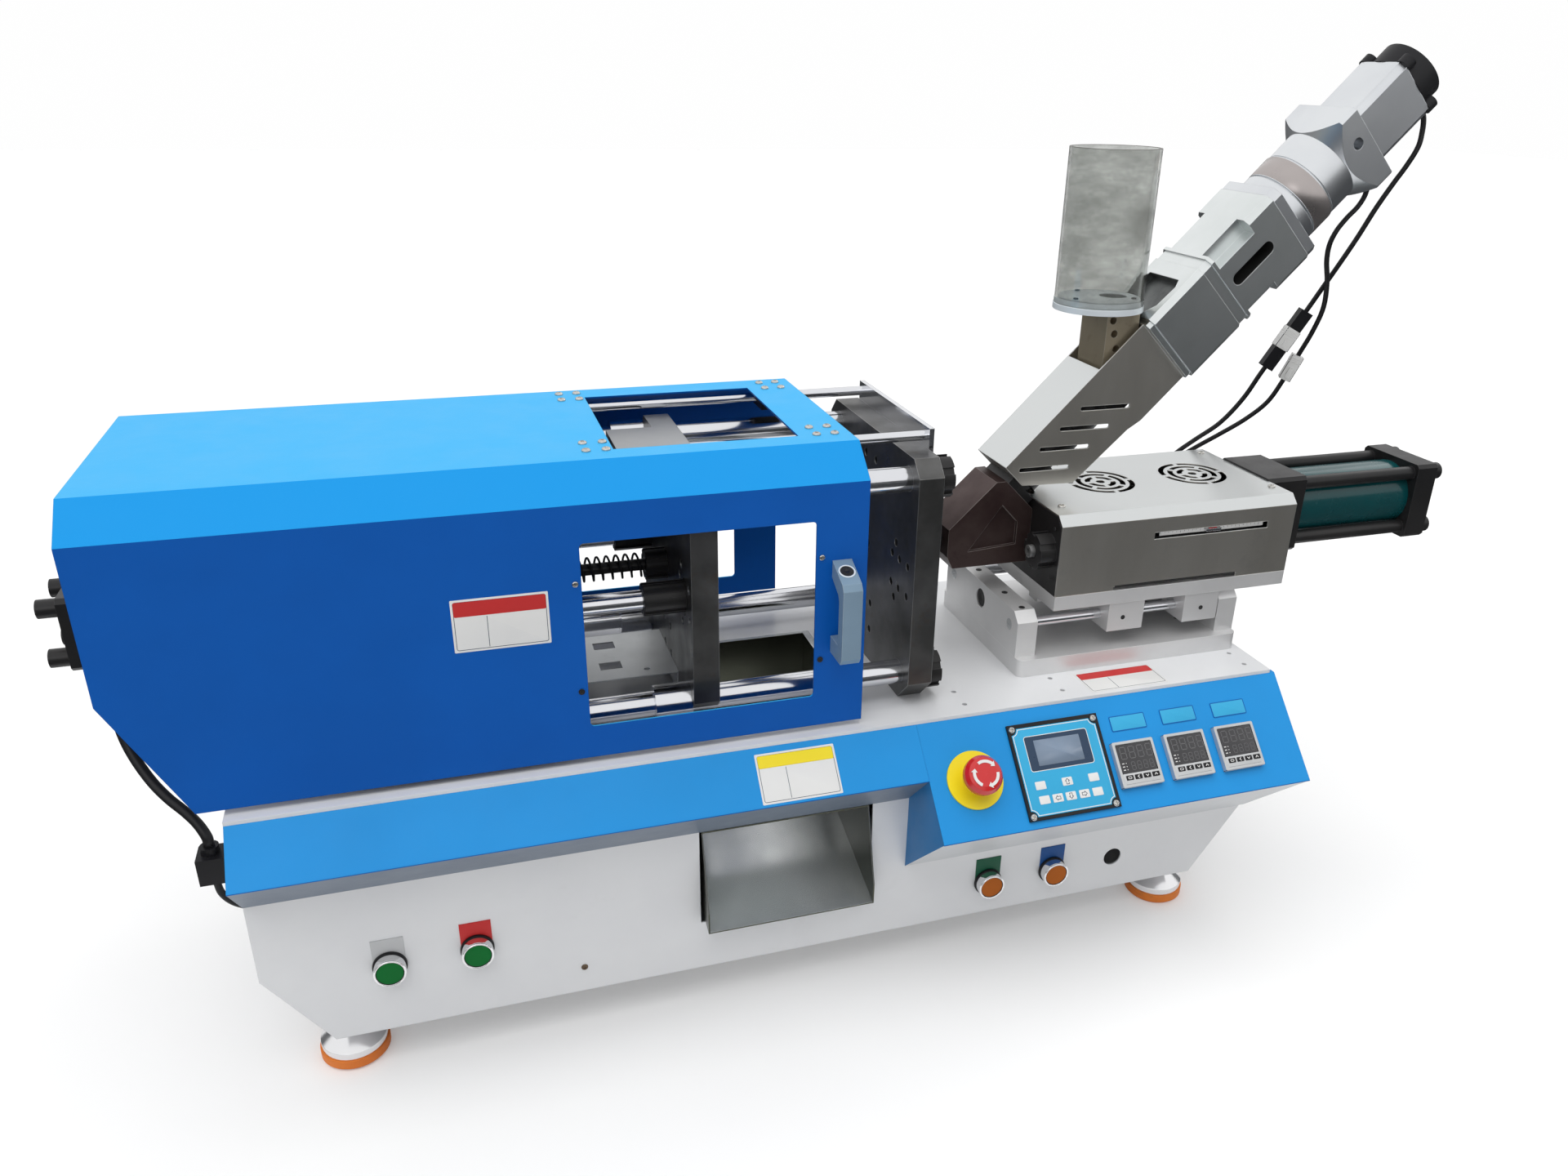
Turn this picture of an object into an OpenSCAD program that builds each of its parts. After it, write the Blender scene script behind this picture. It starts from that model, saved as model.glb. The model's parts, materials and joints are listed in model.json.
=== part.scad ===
// Desktop injection moulding machine: a clamp unit with a sliding guard on the left,
// and an inclined feed unit with a horizontal plunger cylinder on a nozzle carriage on the right.
// X runs along the machine, Y towards its back, Z up. The origin is on the floor, under the middle.

/* [Cabinet] */
// Width of the cabinet along the machine
body_w = 1067; // [1050:1:1150]
// Depth of the cabinet from front to back
body_d = 320; // [316:1:360]
// Height of the cabinet shell below the top plate
body_h = 262; // [250:1:300]
// Thickness of the top plate
plate_t = 4; // [3:0.5:8]
// Overhang of the top plate past the cabinet's front
plate_lip = 6.4; // [3:0.1:10]
// Thickness of the cabinet and console sheet
sheet_t = 2; // [1:0.5:3]
// Width of the slanted lower corners
corner_w = 56; // [30:1:60]
// Height of the slanted lower corners
corner_h = 84; // [40:1:100]

/* [Feet] */
// Height of a levelling foot below the cabinet
foot_h = 50; // [40:1:80]
// Radius of a foot's disc
foot_r = 32; // [24:1:40]
// Thickness of the rubber pad under a foot
pad_t = 12; // [6:1:16]
// Radius of a foot's threaded stud
stud_r = 6; // [4:0.5:8]
// Distance of the left feet from the cabinet's left end
foot_inset_left = 67; // [60:1:90]
// Distance of the right feet from the cabinet's right end
foot_inset_right = 73; // [60:1:90]
// Distance of the feet from the cabinet's front and back
foot_inset_y = 40; // [30:1:60]

/* [Nose and console] */
// Length of the low nose strip on the left
strip_w = 643; // [630:1:650]
// Reach of the nose strip in front of the cabinet
strip_reach = 48; // [30:1:60]
// Drop of the nose strip's sloping face
strip_drop = 42; // [30:1:50]
// Height of the nose strip's lower edge
strip_low = 170; // [160:1:190]
// Length of the control console
console_w = 430; // [425:1:440]
// Reach of the console in front of the cabinet
console_reach = 92; // [86:1:110]
// Drop of the console's sloping face
console_drop = 89; // [85:1:100]
// Height of the console's lower edge
console_low = 83; // [75:1:100]

/* [Controls] */
// Width of the display unit
display_w = 104; // [90:1:105]
// Height of the display unit along the slope
display_h = 100; // [90:1:101]
// Side of a temperature controller
controller_w = 48; // [40:1:52]
// Spacing of the temperature controllers
controller_pitch = 62; // [56:0.5:66]
// Radius of a push button's bezel
bezel_r = 15; // [13:0.5:18]
// Radius of a push button's cap
cap_r = 10.2; // [8:0.1:10.4]
// Travel of a push button
press_travel = 3; // [2:0.5:4]
// Radius of the emergency stop's mushroom head
mushroom_r = 20; // [17:0.5:24]
// Radius of the disc around the emergency stop
stop_disc_r = 30; // [28:0.5:34]
// Travel of the emergency stop
stop_travel = 4.5; // [3:0.5:5]

/* [Clamp unit] */
// Distance of the machine axis behind the cabinet's front
axis_y = 154; // [150:1:158]
// Height of the machine axis above the top plate
axis_h = 134; // [132:1:140]
// Left face of the fixed platen, from the cabinet's left end
fixed_x = 643.5; // [640:0.5:650]
// Left face of the moving platen at rest
moving_x = 422; // [400:1:440]
// Left face of the rear platen
rear_x = 100; // [95:1:110]
// Thickness of the platens
platen_t = 26; // [20:1:28]
// Width of the fixed and rear platens
platen_w = 264; // [256:1:276]
// Width of the moving platen
moving_w = 252; // [244:1:254]
// Height of the platens' top edge above the machine axis
platen_up = 128.5; // [124:0.5:129]
// Spacing of the tie bars across the machine
bar_gap_y = 208; // [200:1:210]
// Vertical spacing of the tie bars
bar_gap_z = 210; // [204:1:212]
// Radius of a tie bar
bar_r = 12.5; // [10:0.5:14]
// Radius of the slotted nuts on the tie bars
nut_r = 21; // [18:0.5:22]
// Length of the slotted nuts on the tie bars
nut_l = 15; // [10:1:18]
// Radius of the moving platen's bushes
bush_r = 18; // [16:0.5:20]
// Length of the moving platen's bushes
bush_l = 36; // [28:1:44]
// Spacing of the push rods across the machine
push_gap = 176; // [170:1:180]
// Radius of a push rod
push_r = 10; // [8:0.5:12]
// Thickness of the crosshead that carries the push rods
crosshead_t = 16; // [12:1:20]
// Travel of the moving platen
clamp_stroke = 150; // [100:1:150]
// Side of the clamp cylinder's end caps
clamp_cap_w = 70; // [66:1:76]
// Thickness of the clamp cylinder's end caps
clamp_cap_t = 27; // [20:1:30]
// Length of the clamp cylinder's tube
clamp_tube_l = 166; // [166:1:180]
// Radius of the clamp piston rod
clamp_rod_r = 12.5; // [10:0.5:14]

/* [Ejector] */
// Radius of the ejector rod
ejector_r = 6; // [4:0.5:7]
// Outer radius of the ejector spring
spring_r = 13; // [11:0.5:14]
// Radius of the ejector spring's wire
wire_r = 1.2; // [1:0.1:2]
// Length of the ejector spring at rest
spring_l = 80; // [60:1:90]
// Number of turns of the ejector spring
spring_turns = 8; // [6:1:9]

/* [Guard] */
// Length of the sliding guard cover
guard_w = 663.7; // [640:1:680]
// Right end of the guard cover at rest
guard_end = 587; // [575:1:590]
// Depth of the guard cover
guard_d = 315; // [312:1:318]
// Top of the guard cover above the machine axis
guard_up = 151.5; // [151:0.5:156]
// Gap between the guard cover and the top plate
guard_gap = 6; // [4:1:10]
// Thickness of the guard cover's sheet
guard_t = 2; // [1:0.5:2.5]
// Depth of the guard cover's bevels
bevel_w = 34; // [24:1:40]
// Height of the guard cover's bevels
bevel_h = 29; // [20:1:30]
// Width of the side windows
window_w = 217; // [190:1:225]
// Height of the side windows
window_h = 182; // [160:1:190]
// Distance of the side windows from the guard's right end
window_inset = 51; // [40:1:60]
// Radius of a guard rod
guard_rod_r = 5; // [4:0.5:6]
// Spacing of the guard rods
guard_rod_gap = 182; // [176:1:190]

/* [Nozzle carriage] */
// Left end of the slide base
slide_x = 784.5; // [780:0.5:790]
// Length of the slide base
slide_l = 276; // [274:1:280]
// Width of the slide base
slide_w = 207; // [200:1:215]
// Thickness of the slide base
slide_t = 20; // [16:1:22]
// Height of the rail end blocks
end_block_h = 51; // [50:1:54]
// Thickness of the rail end blocks
end_block_t = 24; // [20:1:26]
// Spacing of the slide rails
rail_gap = 147; // [140:1:150]
// Radius of a slide rail
rail_r = 6; // [5:0.5:8]
// Length of a rail bearing block
bearing_l = 44; // [36:1:46]
// Thickness of the carriage plate
carriage_t = 16; // [12:1:20]
// Length of the carriage plate
carriage_l = 292; // [290:1:296]
// Width of the carriage plate and of the cover on it
carriage_w = 192; // [188:1:200]
// Travel of the nozzle carriage towards the mould
carriage_stroke = 40; // [20:1:40]

/* [Injection unit] */
// Height of the cover over the plunger
cover_h = 90; // [86:1:100]
// Thickness of the covers' steel sheet
cover_t = 1.5; // [1:0.5:2]
// Radius of the injection plunger
plunger_r = 10; // [8:0.5:11]
// Travel of the plunger each way from rest
plunger_travel = 55; // [40:1:55]
// Side of the injection cylinder's caps
cyl_cap_w = 92; // [90:1:100]
// Thickness of the injection cylinder's front cap
front_cap_t = 52; // [40:1:56]
// Thickness of the injection cylinder's rear cap
rear_cap_t = 28; // [22:1:34]
// Length of the injection cylinder's tube
cyl_tube_l = 160; // [150:1:170]
// Outer radius of the injection cylinder's tube
cyl_tube_r = 39; // [38:0.5:40]
// Radius of the injection cylinder's tie rods
cyl_rod_r = 8; // [6:0.5:8]
// Width of the heated block
heat_w = 56; // [50:1:62]
// Distance from the heated block's right face to the crossing of the two axes
heat_right = 64; // [60:1:68]

/* [Feed unit] */
// Distance along the feed axis to the barrel's lower flange
flange_s = 67.5; // [67:0.5:70]
// Thickness of the barrel's lower flange
flange_t = 8; // [6:0.5:8]
// Outer radius of the barrel
barrel_r = 18; // [15:0.5:19]
// Radius of the feed screw's flight
screw_r = 10; // [8:0.5:11]
// Half width of the barrel cover
barrel_cover_y = 34.5; // [32:0.5:38]
// Distance along the feed axis to the feed housing
housing_s = 281; // [280:1:290]
// Length of the feed housing with its bolted flange
housing_l = 77; // [70:1:84]
// Half width of the feed housing and the adaptor block
housing_y = 45; // [42:0.5:48]
// Length of the adaptor block
adaptor_l = 100; // [94:1:110]
// Radius of the gearbox
gear_r = 45; // [40:0.5:46]
// Length of the gearbox between its flanges
gear_l = 71; // [60:1:80]
// Half width of the motor
motor_y = 34; // [28:0.5:34]
// Length of the motor
motor_l = 72; // [60:1:90]
// Length of the motor's end cap
motor_cap_l = 24; // [24:1:36]
// Width of the feed block along the machine
feed_w = 38; // [34:1:38]
// Radius of the hopper tube
hopper_r = 46; // [40:1:50]
// Height of the hopper tube
hopper_h = 148; // [120:1:180]
// Wall of the hopper tube
hopper_t = 2.5; // [2:0.5:4]
// Thickness of the disc under the hopper tube
disc_t = 12; // [8:1:14]

/* [Cables] */
// Diameter of the two motor cables
motor_cable_d = 5.6; // [5:0.1:6]
// Diameter of the hose to the clamp cylinder
hose_d = 10; // [8:0.5:11]
// Diameter of the short cable loop on the left
loop_d = 7; // [6:0.5:8]

/* [Hidden] */
$fn = 48;

// Clearances
fit_gap = 0.1;      // round parts that are fixed in their holes
run_gap = 0.08;     // shafts that slide or turn in a bore
loose_gap = 1;      // holes that only let a rod through
cut = 1;            // how far a cutter passes the surface it cuts

// Heights and places worked out from the sizes above
top_z = body_h + plate_t;
axis_z = top_z + axis_h;
platen_top = axis_z + platen_up;
clamp_cap_x = rear_x - 2 * clamp_cap_t - clamp_tube_l;
clamp_bolt_l = 17;
clamp_left = clamp_cap_x - clamp_bolt_l;
slide_top = top_z + slide_t;
rail_z = slide_top + end_block_h - 19.5;
carriage_z = slide_top + end_block_h + 1;
deck_z = carriage_z + carriage_t;
carriage_x = slide_x + 39.5;
carriage_right = carriage_x + carriage_l;
cover_top = deck_z + cover_h;
cross_x = carriage_x - heat_right;
cap_left = carriage_right + front_cap_t;
tube_right = cap_left + cyl_tube_l;
cyl_right = tube_right + rear_cap_t;
cyl_bolt_l = 10;
machine_right = cyl_right + cyl_bolt_l;
origin_x = (clamp_left + machine_right) / 2;
origin_y = (body_d - console_reach) / 2;

// Puts a piece that is drawn from the cabinet's lower left front corner into the part's frame
module placed() {
  translate([-origin_x, -origin_y, foot_h]) children();
}

// ---- drawing helpers -------------------------------------------------------
// Extrudes a (y, z) outline from x0 to x1
module along_x(x0, x1) {
  translate([x0, 0, 0]) rotate([90, 0, 90]) linear_extrude(x1 - x0) children();
}
// Extrudes an (x, z) outline from y0 to y1
module along_y(y0, y1) {
  translate([0, y1, 0]) rotate([90, 0, 0]) linear_extrude(y1 - y0) children();
}
module rod_x(x0, x1, y, z, r) {
  translate([x0, y, z]) rotate([0, 90, 0]) cylinder(h = x1 - x0, r = r);
}
module rod_y(y0, y1, x, z, r) {
  translate([x, y0, z]) rotate([-90, 0, 0]) cylinder(h = y1 - y0, r = r);
}
module rod_z(z0, z1, x, y, r) {
  translate([x, y, z0]) cylinder(h = z1 - z0, r = r);
}
module block(lo, hi) {
  translate(lo) cube(hi - lo);
}
module rounded_rect(w, h, r) {
  translate([r, 0]) square([w - 2 * r, h]);
  translate([0, r]) square([w, h - 2 * r]);
  for (x = [r, w - r], y = [r, h - r]) translate([x, y]) circle(r);
}
// A rectangle with cut corners, centred on zero
function cut_rect(hx, hy, c) = [
  [hx, -hy + c], [hx, hy - c], [hx - c, hy], [-hx + c, hy],
  [-hx, hy - c], [-hx, -hy + c], [-hx + c, -hy], [hx - c, -hy]
];
// An anticlockwise outline moved inwards by t
function inset(p, t) = [
  for (i = [0:len(p) - 1])
    let (
      a = p[(i + len(p) - 1) % len(p)], b = p[i], c = p[(i + 1) % len(p)],
      u = (b - a) / norm(b - a), v = (c - b) / norm(c - b),
      m = [-u[1], u[0]], n = [-v[1], v[0]]
    ) b + (m + n) * t / (1 + m * n)
];
// A round nut with slots along its rim
module slotted_nut(x0, x1, y, z, r, bore, slots = 6) {
  slot_w = r * 0.34;
  slot_h = r * 0.14;
  difference() {
    rod_x(x0, x1, y, z, r);
    rod_x(x0 - cut, x1 + cut, y, z, bore);
    for (i = [0:slots - 1])
      translate([x0 - cut, y, z]) rotate([i * 360 / slots, 0, 0])
        translate([0, -slot_w / 2, r - slot_h]) cube([x1 - x0 + 2 * cut, slot_w, slot_h + cut]);
  }
}
// A tube through a list of points: sides flats round it, ring after ring
module cord(points, d, sides = 8) {
  last = len(points) - 1;
  dirs = [for (i = [0:last])
    let (v = points[min(i + 1, last)] - points[max(i - 1, 0)]) v / norm(v)];
  rings = [for (i = [0:last])
    let (side = cross(dirs[i], [0.1, 1, 0.05]), a = side / norm(side), b = cross(dirs[i], a))
      for (k = [0:sides - 1])
        points[i] + d / 2 * (a * cos(k * 360 / sides) + b * sin(k * 360 / sides))];
  walls = [for (i = [0:last - 1], k = [0:sides - 1])
    let (n = (k + 1) % sides, here = i * sides, next = here + sides)
      each [[here + k, next + k, next + n], [here + k, next + n, here + n]]];
  polyhedron(rings, concat(walls, [
    [for (k = [0:sides - 1]) k],
    [for (k = [sides - 1:-1:0]) last * sides + k]
  ]));
}
// Turns +Z onto the line from p to q and starts at p
module between(p, q) {
  v = q - p;
  translate(p) rotate([0, acos(v[2] / norm(v)), atan2(v[1], v[0])]) children();
}

// ---- cabinet ---------------------------------------------------------------
function cabinet_outline(h) = [
  [corner_w, 0], [body_w - corner_w, 0], [body_w, corner_h],
  [body_w, h], [0, h], [0, corner_h]
];
foot_spots = [for (x = [foot_inset_left, body_w - foot_inset_right],
  y = [foot_inset_y, body_d - foot_inset_y]) [x, y]];
button_hole_r = cap_r + 0.9;
// Push buttons on the front: place along X and height of the centre
buttons = [[114.5, 78], [195.5, 79.5], [743.5, 43], [823, 43]];
spare_hole = [902.5, 42.5];
spare_hole_r = 11;
chute_mouth = [418, 58, 603, 180];
loop_entry = [0, 74, 118];
vent_x = 760;

module cabinet() {
  slot_l = 60;
  slot_w = 5;
  color("white") difference() {
    along_y(0, body_d) polygon(cabinet_outline(body_h));
    along_y(sheet_t, body_d - sheet_t) polygon(inset(cabinet_outline(body_h + 2 * sheet_t), sheet_t));
    block([chute_mouth[0], -cut, chute_mouth[1]], [chute_mouth[2], sheet_t + cut, chute_mouth[3]]);
    for (b = buttons) rod_y(-cut, sheet_t + cut, b[0], b[1], button_hole_r + fit_gap);
    rod_y(-cut, sheet_t + cut, spare_hole[0], spare_hole[1], spare_hole_r);
    for (f = foot_spots) rod_z(-cut, sheet_t + cut, f[0], f[1], stud_r + loose_gap / 2);
    rod_x(-cut, sheet_t + cut, loop_entry[1], loop_entry[2], loop_d / 2 + loose_gap);
    for (x = [vent_x:slot_l + 14:vent_x + 220], z = [120:14:176])
      block([x, body_d - sheet_t - cut, z], [x + slot_l, body_d + cut, z + slot_w]);
  }
}

funnel = [450, 70, 592, 215];
module top_plate() {
  screw_r = 2.6;
  color("white") difference() {
    block([0, -plate_lip, body_h], [body_w, body_d, top_z]);
    block([funnel[0] - loose_gap, funnel[1] - loose_gap, body_h - cut],
          [funnel[2] + loose_gap, funnel[3] + loose_gap, top_z + cut]);
    for (x = [705, 819, body_w - 20], y = [13, 41, body_d - 41, body_d - 13])
      rod_z(body_h - cut, top_z + cut, x, y, screw_r);
  }
}

// Section of a folded front housing, open towards the cabinet; back moves its rear edge
function nose_outline(reach, drop, low, back) = [
  [back, body_h], [-plate_lip, body_h], [-reach, body_h - drop],
  [back, low - back * (body_h - drop - low) / reach]
];
module folded_nose(x0, x1, reach, drop, low) {
  difference() {
    along_x(x0, x1) polygon(nose_outline(reach, drop, low, 0));
    along_x(x0 + sheet_t, x1 - sheet_t)
      polygon(inset(nose_outline(reach, drop, low, 2 * sheet_t), sheet_t));
  }
}
module nose_strip() {
  color("deepskyblue") folded_nose(0, strip_w, strip_reach, strip_drop, strip_low);
}

// The console's sloping face: s runs down the slope from its top edge
console_x = strip_w;
slope = atan2(console_drop, console_reach - plate_lip);
module on_slope(x, s) {
  translate([x, -plate_lip - s * cos(slope), body_h - s * sin(slope)])
    rotate([slope, 0, 0]) children();
}
stop_at = [console_x + 48, 65];
display_at = [console_x + 147, 66];
display_body = [90, 88, 24];
controller_at = [console_x + 229.5, 75];
controller_body = [44, 44, 34];
stop_hole_r = 11.2;
module console_housing() {
  color("dodgerblue") difference() {
    folded_nose(console_x, console_x + console_w, console_reach, console_drop, console_low);
    on_slope(stop_at[0], stop_at[1]) rod_z(-3 * sheet_t, cut, 0, 0, stop_hole_r);
    on_slope(display_at[0], display_at[1])
      block([-display_body[0] / 2 - fit_gap, -display_body[1] / 2 - fit_gap, -2 * sheet_t],
            [display_body[0] / 2 + fit_gap, display_body[1] / 2 + fit_gap, cut]);
    for (i = [0:2]) on_slope(controller_at[0] + i * controller_pitch, controller_at[1])
      block([-controller_body[0] / 2 - fit_gap, -controller_body[1] / 2 - fit_gap, -2 * sheet_t],
            [controller_body[0] / 2 + fit_gap, controller_body[1] / 2 + fit_gap, cut]);
  }
}

module leveling_feet() {
  neck_r = stud_r + 9;
  collar_z = -foot_h + pad_t + 22;
  color("silver") for (f = foot_spots) translate([f[0], f[1], 0]) {
    rotate_extrude() polygon([
      [0, -foot_h + pad_t], [foot_r, -foot_h + pad_t], [foot_r, -foot_h + pad_t + 8],
      [neck_r + 4, collar_z - 3], [neck_r, collar_z], [neck_r, 0], [stud_r, 0],
      [stud_r, sheet_t + 16], [0, sheet_t + 16]
    ]);
    difference() {
      rotate([0, 0, 30]) rod_z(sheet_t, sheet_t + 8, 0, 0, stud_r + 4.4, $fn = 6);
      rod_z(sheet_t - cut, sheet_t + 8 + cut, 0, 0, stud_r + fit_gap);
    }
  }
}
module foot_pads() {
  pad_r = foot_r + 1.5;
  color("orangered") for (f = foot_spots) translate([f[0], f[1], 0])
    rotate_extrude() polygon([
      [0, -foot_h], [pad_r - 3, -foot_h], [pad_r, -foot_h + 3],
      [pad_r, -foot_h + pad_t], [0, -foot_h + pad_t]
    ]);
}

// Folded chute: a sloping floor and side walls, with a square funnel up through the top plate
chute_t = 1.5;
chute_lip = [-22, 60];
chute_back_z = 132;
shoulder_z = 165;
chute_side = [chute_mouth[0] + 3, chute_mouth[2] - 3];
function chute_floor(y) =
  chute_lip[1] + (y - chute_lip[0]) * (chute_back_z - chute_lip[1]) / (funnel[3] - chute_lip[0]);
module discharge_chute() {
  rim_z = top_z + 4;
  flange = 8;
  back = funnel[3];
  color("gainsboro") {
    along_x(chute_side[0], chute_side[1]) polygon([
      chute_lip, [back, chute_floor(back)], [back, chute_floor(back) + chute_t],
      [chute_lip[0], chute_lip[1] + chute_t]
    ]);
    for (x = [chute_side[0], chute_side[1] - chute_t])
      along_x(x, x + chute_t) polygon([
        chute_lip, [back, chute_floor(back)], [back, shoulder_z], [2 * sheet_t, shoulder_z],
        [chute_lip[0], chute_lip[1] + 25]
      ]);
    difference() {
      block([chute_side[0], 2 * sheet_t, shoulder_z], [chute_side[1], back, shoulder_z + chute_t]);
      block([funnel[0] + chute_t, funnel[1] + chute_t, shoulder_z - cut],
            [funnel[2] - chute_t, funnel[3] - chute_t, shoulder_z + chute_t + cut]);
    }
    block([chute_side[0], back - chute_t, chute_floor(back)], [chute_side[1], back, shoulder_z]);
    difference() {
      union() {
        block([funnel[0], funnel[1], shoulder_z], [funnel[2], funnel[3], rim_z]);
        block([funnel[0] - flange, funnel[1] - flange, top_z],
              [funnel[2] + flange, funnel[3] + flange, top_z + chute_t]);
      }
      block([funnel[0] + chute_t, funnel[1] + chute_t, shoulder_z - cut],
            [funnel[2] - chute_t, funnel[3] - chute_t, rim_z + cut]);
    }
  }
}

// Electrical and air parts that stand on the cabinet's floor
module control_gear() {
  floor_z = sheet_t;
  supply = [130, 175, 215, 110, 50];
  drive = [690, 170, 60, 120, 170];
  manifold = [815, 215, 150, 70, 34];
  terminal = [200, 90, 160, 45, 30];
  color("gray") {
    difference() {
      block([supply[0], supply[1], floor_z],
            [supply[0] + supply[2], supply[1] + supply[3], floor_z + supply[4]]);
      for (i = [0:6])
        block([supply[0] + 20 + i * 26, supply[1] + 20, floor_z + supply[4] - 3],
              [supply[0] + 34 + i * 26, supply[1] + supply[3] - 20, floor_z + supply[4] + cut]);
    }
    block([drive[0], drive[1], floor_z],
          [drive[0] + drive[2], drive[1] + drive[3], floor_z + drive[4]]);
    block([manifold[0], manifold[1], floor_z],
          [manifold[0] + manifold[2], manifold[1] + manifold[3], floor_z + manifold[4]]);
    for (i = [0:3])
      block([manifold[0] + 10 + i * 36, manifold[1] + 8, floor_z + manifold[4]],
            [manifold[0] + 32 + i * 36, manifold[1] + manifold[3] - 8, floor_z + manifold[4] + 42]);
    block([terminal[0], terminal[1], floor_z],
          [terminal[0] + terminal[2], terminal[1] + terminal[3], floor_z + terminal[4]]);
  }
}

// ---- controls --------------------------------------------------------------
module display_unit() {
  face_t = 3;
  color("black") on_slope(display_at[0], display_at[1]) {
    block([-display_w / 2, -display_h / 2, 0], [display_w / 2, display_h / 2, face_t]);
    block([-display_body[0] / 2, -display_body[1] / 2, -display_body[2]],
          [display_body[0] / 2, display_body[1] / 2, 0]);
  }
}
module temperature_controllers() {
  face_t = 6;
  rim = 3;
  color("dimgray") for (i = [0:2])
    on_slope(controller_at[0] + i * controller_pitch, controller_at[1]) difference() {
      union() {
        block([-controller_w / 2, -controller_w / 2, 0], [controller_w / 2, controller_w / 2, face_t]);
        block([-controller_body[0] / 2, -controller_body[1] / 2, -controller_body[2]],
              [controller_body[0] / 2, controller_body[1] / 2, 0]);
      }
      block([-controller_w / 2 + rim, -controller_w / 2 + rim, face_t - 1],
            [controller_w / 2 - rim, controller_w / 2 - rim, face_t + cut]);
    }
}
button_out = 14;
button_deep = 34;
cap_face_r = 12.3;
cap_face_t = 5;
cap_back = -button_out + 0.5 + cap_face_t;
module button_bezels() {
  color("silver") for (b = buttons) difference() {
    union() {
      rod_y(-button_out, 0, b[0], b[1], bezel_r);
      rod_y(0, button_deep, b[0], b[1], button_hole_r);
      block([b[0] - 14, button_deep, b[1] - 14], [b[0] + 14, button_deep + 26, b[1] + 14]);
    }
    rod_y(cap_back, button_deep - 6, b[0], b[1], cap_r + run_gap);
    rod_y(-button_out - cut, cap_back + press_travel + 0.5, b[0], b[1], cap_face_r + run_gap);
    rod_y(-button_out - cut, -button_out + 1.2, b[0], b[1], cap_face_r + 0.8);
  }
}
module button_cap(i) {
  b = buttons[i];
  rod_y(-button_out + 0.5, cap_back, b[0], b[1], cap_face_r);
  rod_y(cap_back, 12, b[0], b[1], cap_r);
}
module power_button_cap() { color("green") button_cap(0); }
module heater_button_cap() { color("green") button_cap(1); }
module start_button_cap() { color("orange") button_cap(2); }
module inject_button_cap() { color("orange") button_cap(3); }

stop_stem_r = 8;
stop_disc_t = 2;
stop_collar_h = 12;
module estop_collar() {
  color("gold") on_slope(stop_at[0], stop_at[1]) difference() {
    union() {
      rod_z(0, stop_disc_t, 0, 0, stop_disc_r);
      rod_z(stop_disc_t, stop_collar_h, 0, 0, stop_stem_r + 6);
      rod_z(-30, 0, 0, 0, stop_hole_r - fit_gap);
    }
    rod_z(-24, stop_collar_h + cut, 0, 0, stop_stem_r + run_gap);
  }
}
module estop_mushroom() {
  head_z = stop_collar_h + stop_travel + 0.8;
  color("red") on_slope(stop_at[0], stop_at[1]) rotate_extrude() polygon([
    [0, -16], [stop_stem_r, -16], [stop_stem_r, head_z], [mushroom_r - 2, head_z],
    [mushroom_r, head_z + 2], [mushroom_r, head_z + 8], [mushroom_r - 3, head_z + 12.5],
    [mushroom_r - 7, head_z + 14], [0, head_z + 14.5]
  ]);
}

// ---- clamp unit ------------------------------------------------------------
bar_spots = [for (y = [-1, 1], z = [-1, 1])
  [axis_y + y * bar_gap_y / 2, axis_z + z * bar_gap_z / 2]];
platen_right = fixed_x + platen_t;
// Mould bolt holes of the platens, from the machine axis
mould_side = [[114, 16], [92, 16], [72, 16], [81, 30]];
mould_end = [[15, 66], [15, 97]];
mould_hole_r = 4.25;
module mould_holes(x0, x1) {
  for (p = concat(mould_side, mould_end), y = [-1, 1], z = [-1, 1])
    rod_x(x0 - cut, x1 + cut, axis_y + y * p[0], axis_z + z * p[1], mould_hole_r);
}
// A platen outline with its upper and lower corners cut off
module platen_outline(w, low, top_cut, low_cut) {
  l = axis_y - w / 2;
  r = axis_y + w / 2;
  polygon([
    [l + low_cut, low], [r - low_cut, low], [r, low + low_cut], [r, platen_top - top_cut],
    [r - top_cut, platen_top], [l + top_cut, platen_top], [l, platen_top - top_cut],
    [l, low + low_cut]
  ]);
}
sprue_r = 6;
seat_r = 20;
seat_depth = 10;
module fixed_platen() {
  color("dimgray") difference() {
    along_x(fixed_x, platen_right) platen_outline(platen_w, top_z, 16, 26);
    for (b = bar_spots) rod_x(fixed_x - cut, platen_right + cut, b[0], b[1], bar_r + fit_gap);
    mould_holes(fixed_x, platen_right);
    rod_x(fixed_x - cut, platen_right + cut, axis_y, axis_z, sprue_r);
    rod_x(platen_right - seat_depth, platen_right + cut, axis_y, axis_z, seat_r);
  }
}
module rear_platen() {
  color("dimgray") difference() {
    along_x(rear_x, rear_x + platen_t) platen_outline(platen_w, top_z, 16, 26);
    for (b = bar_spots) rod_x(rear_x - cut, rear_x + platen_t + cut, b[0], b[1], bar_r + fit_gap);
    rod_x(rear_x - cut, rear_x + platen_t + cut, axis_y, axis_z, clamp_rod_r + loose_gap);
  }
}
module tie_bars() {
  color("silver") for (b = bar_spots)
    rod_x(rear_x - nut_l, platen_right + nut_l, b[0], b[1], bar_r);
}
module tie_bar_nuts() {
  color("black") for (b = bar_spots) {
    slotted_nut(rear_x - nut_l, rear_x, b[0], b[1], nut_r, bar_r + fit_gap);
    slotted_nut(platen_right, platen_right + nut_l, b[0], b[1], nut_r, bar_r + fit_gap);
  }
}

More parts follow.
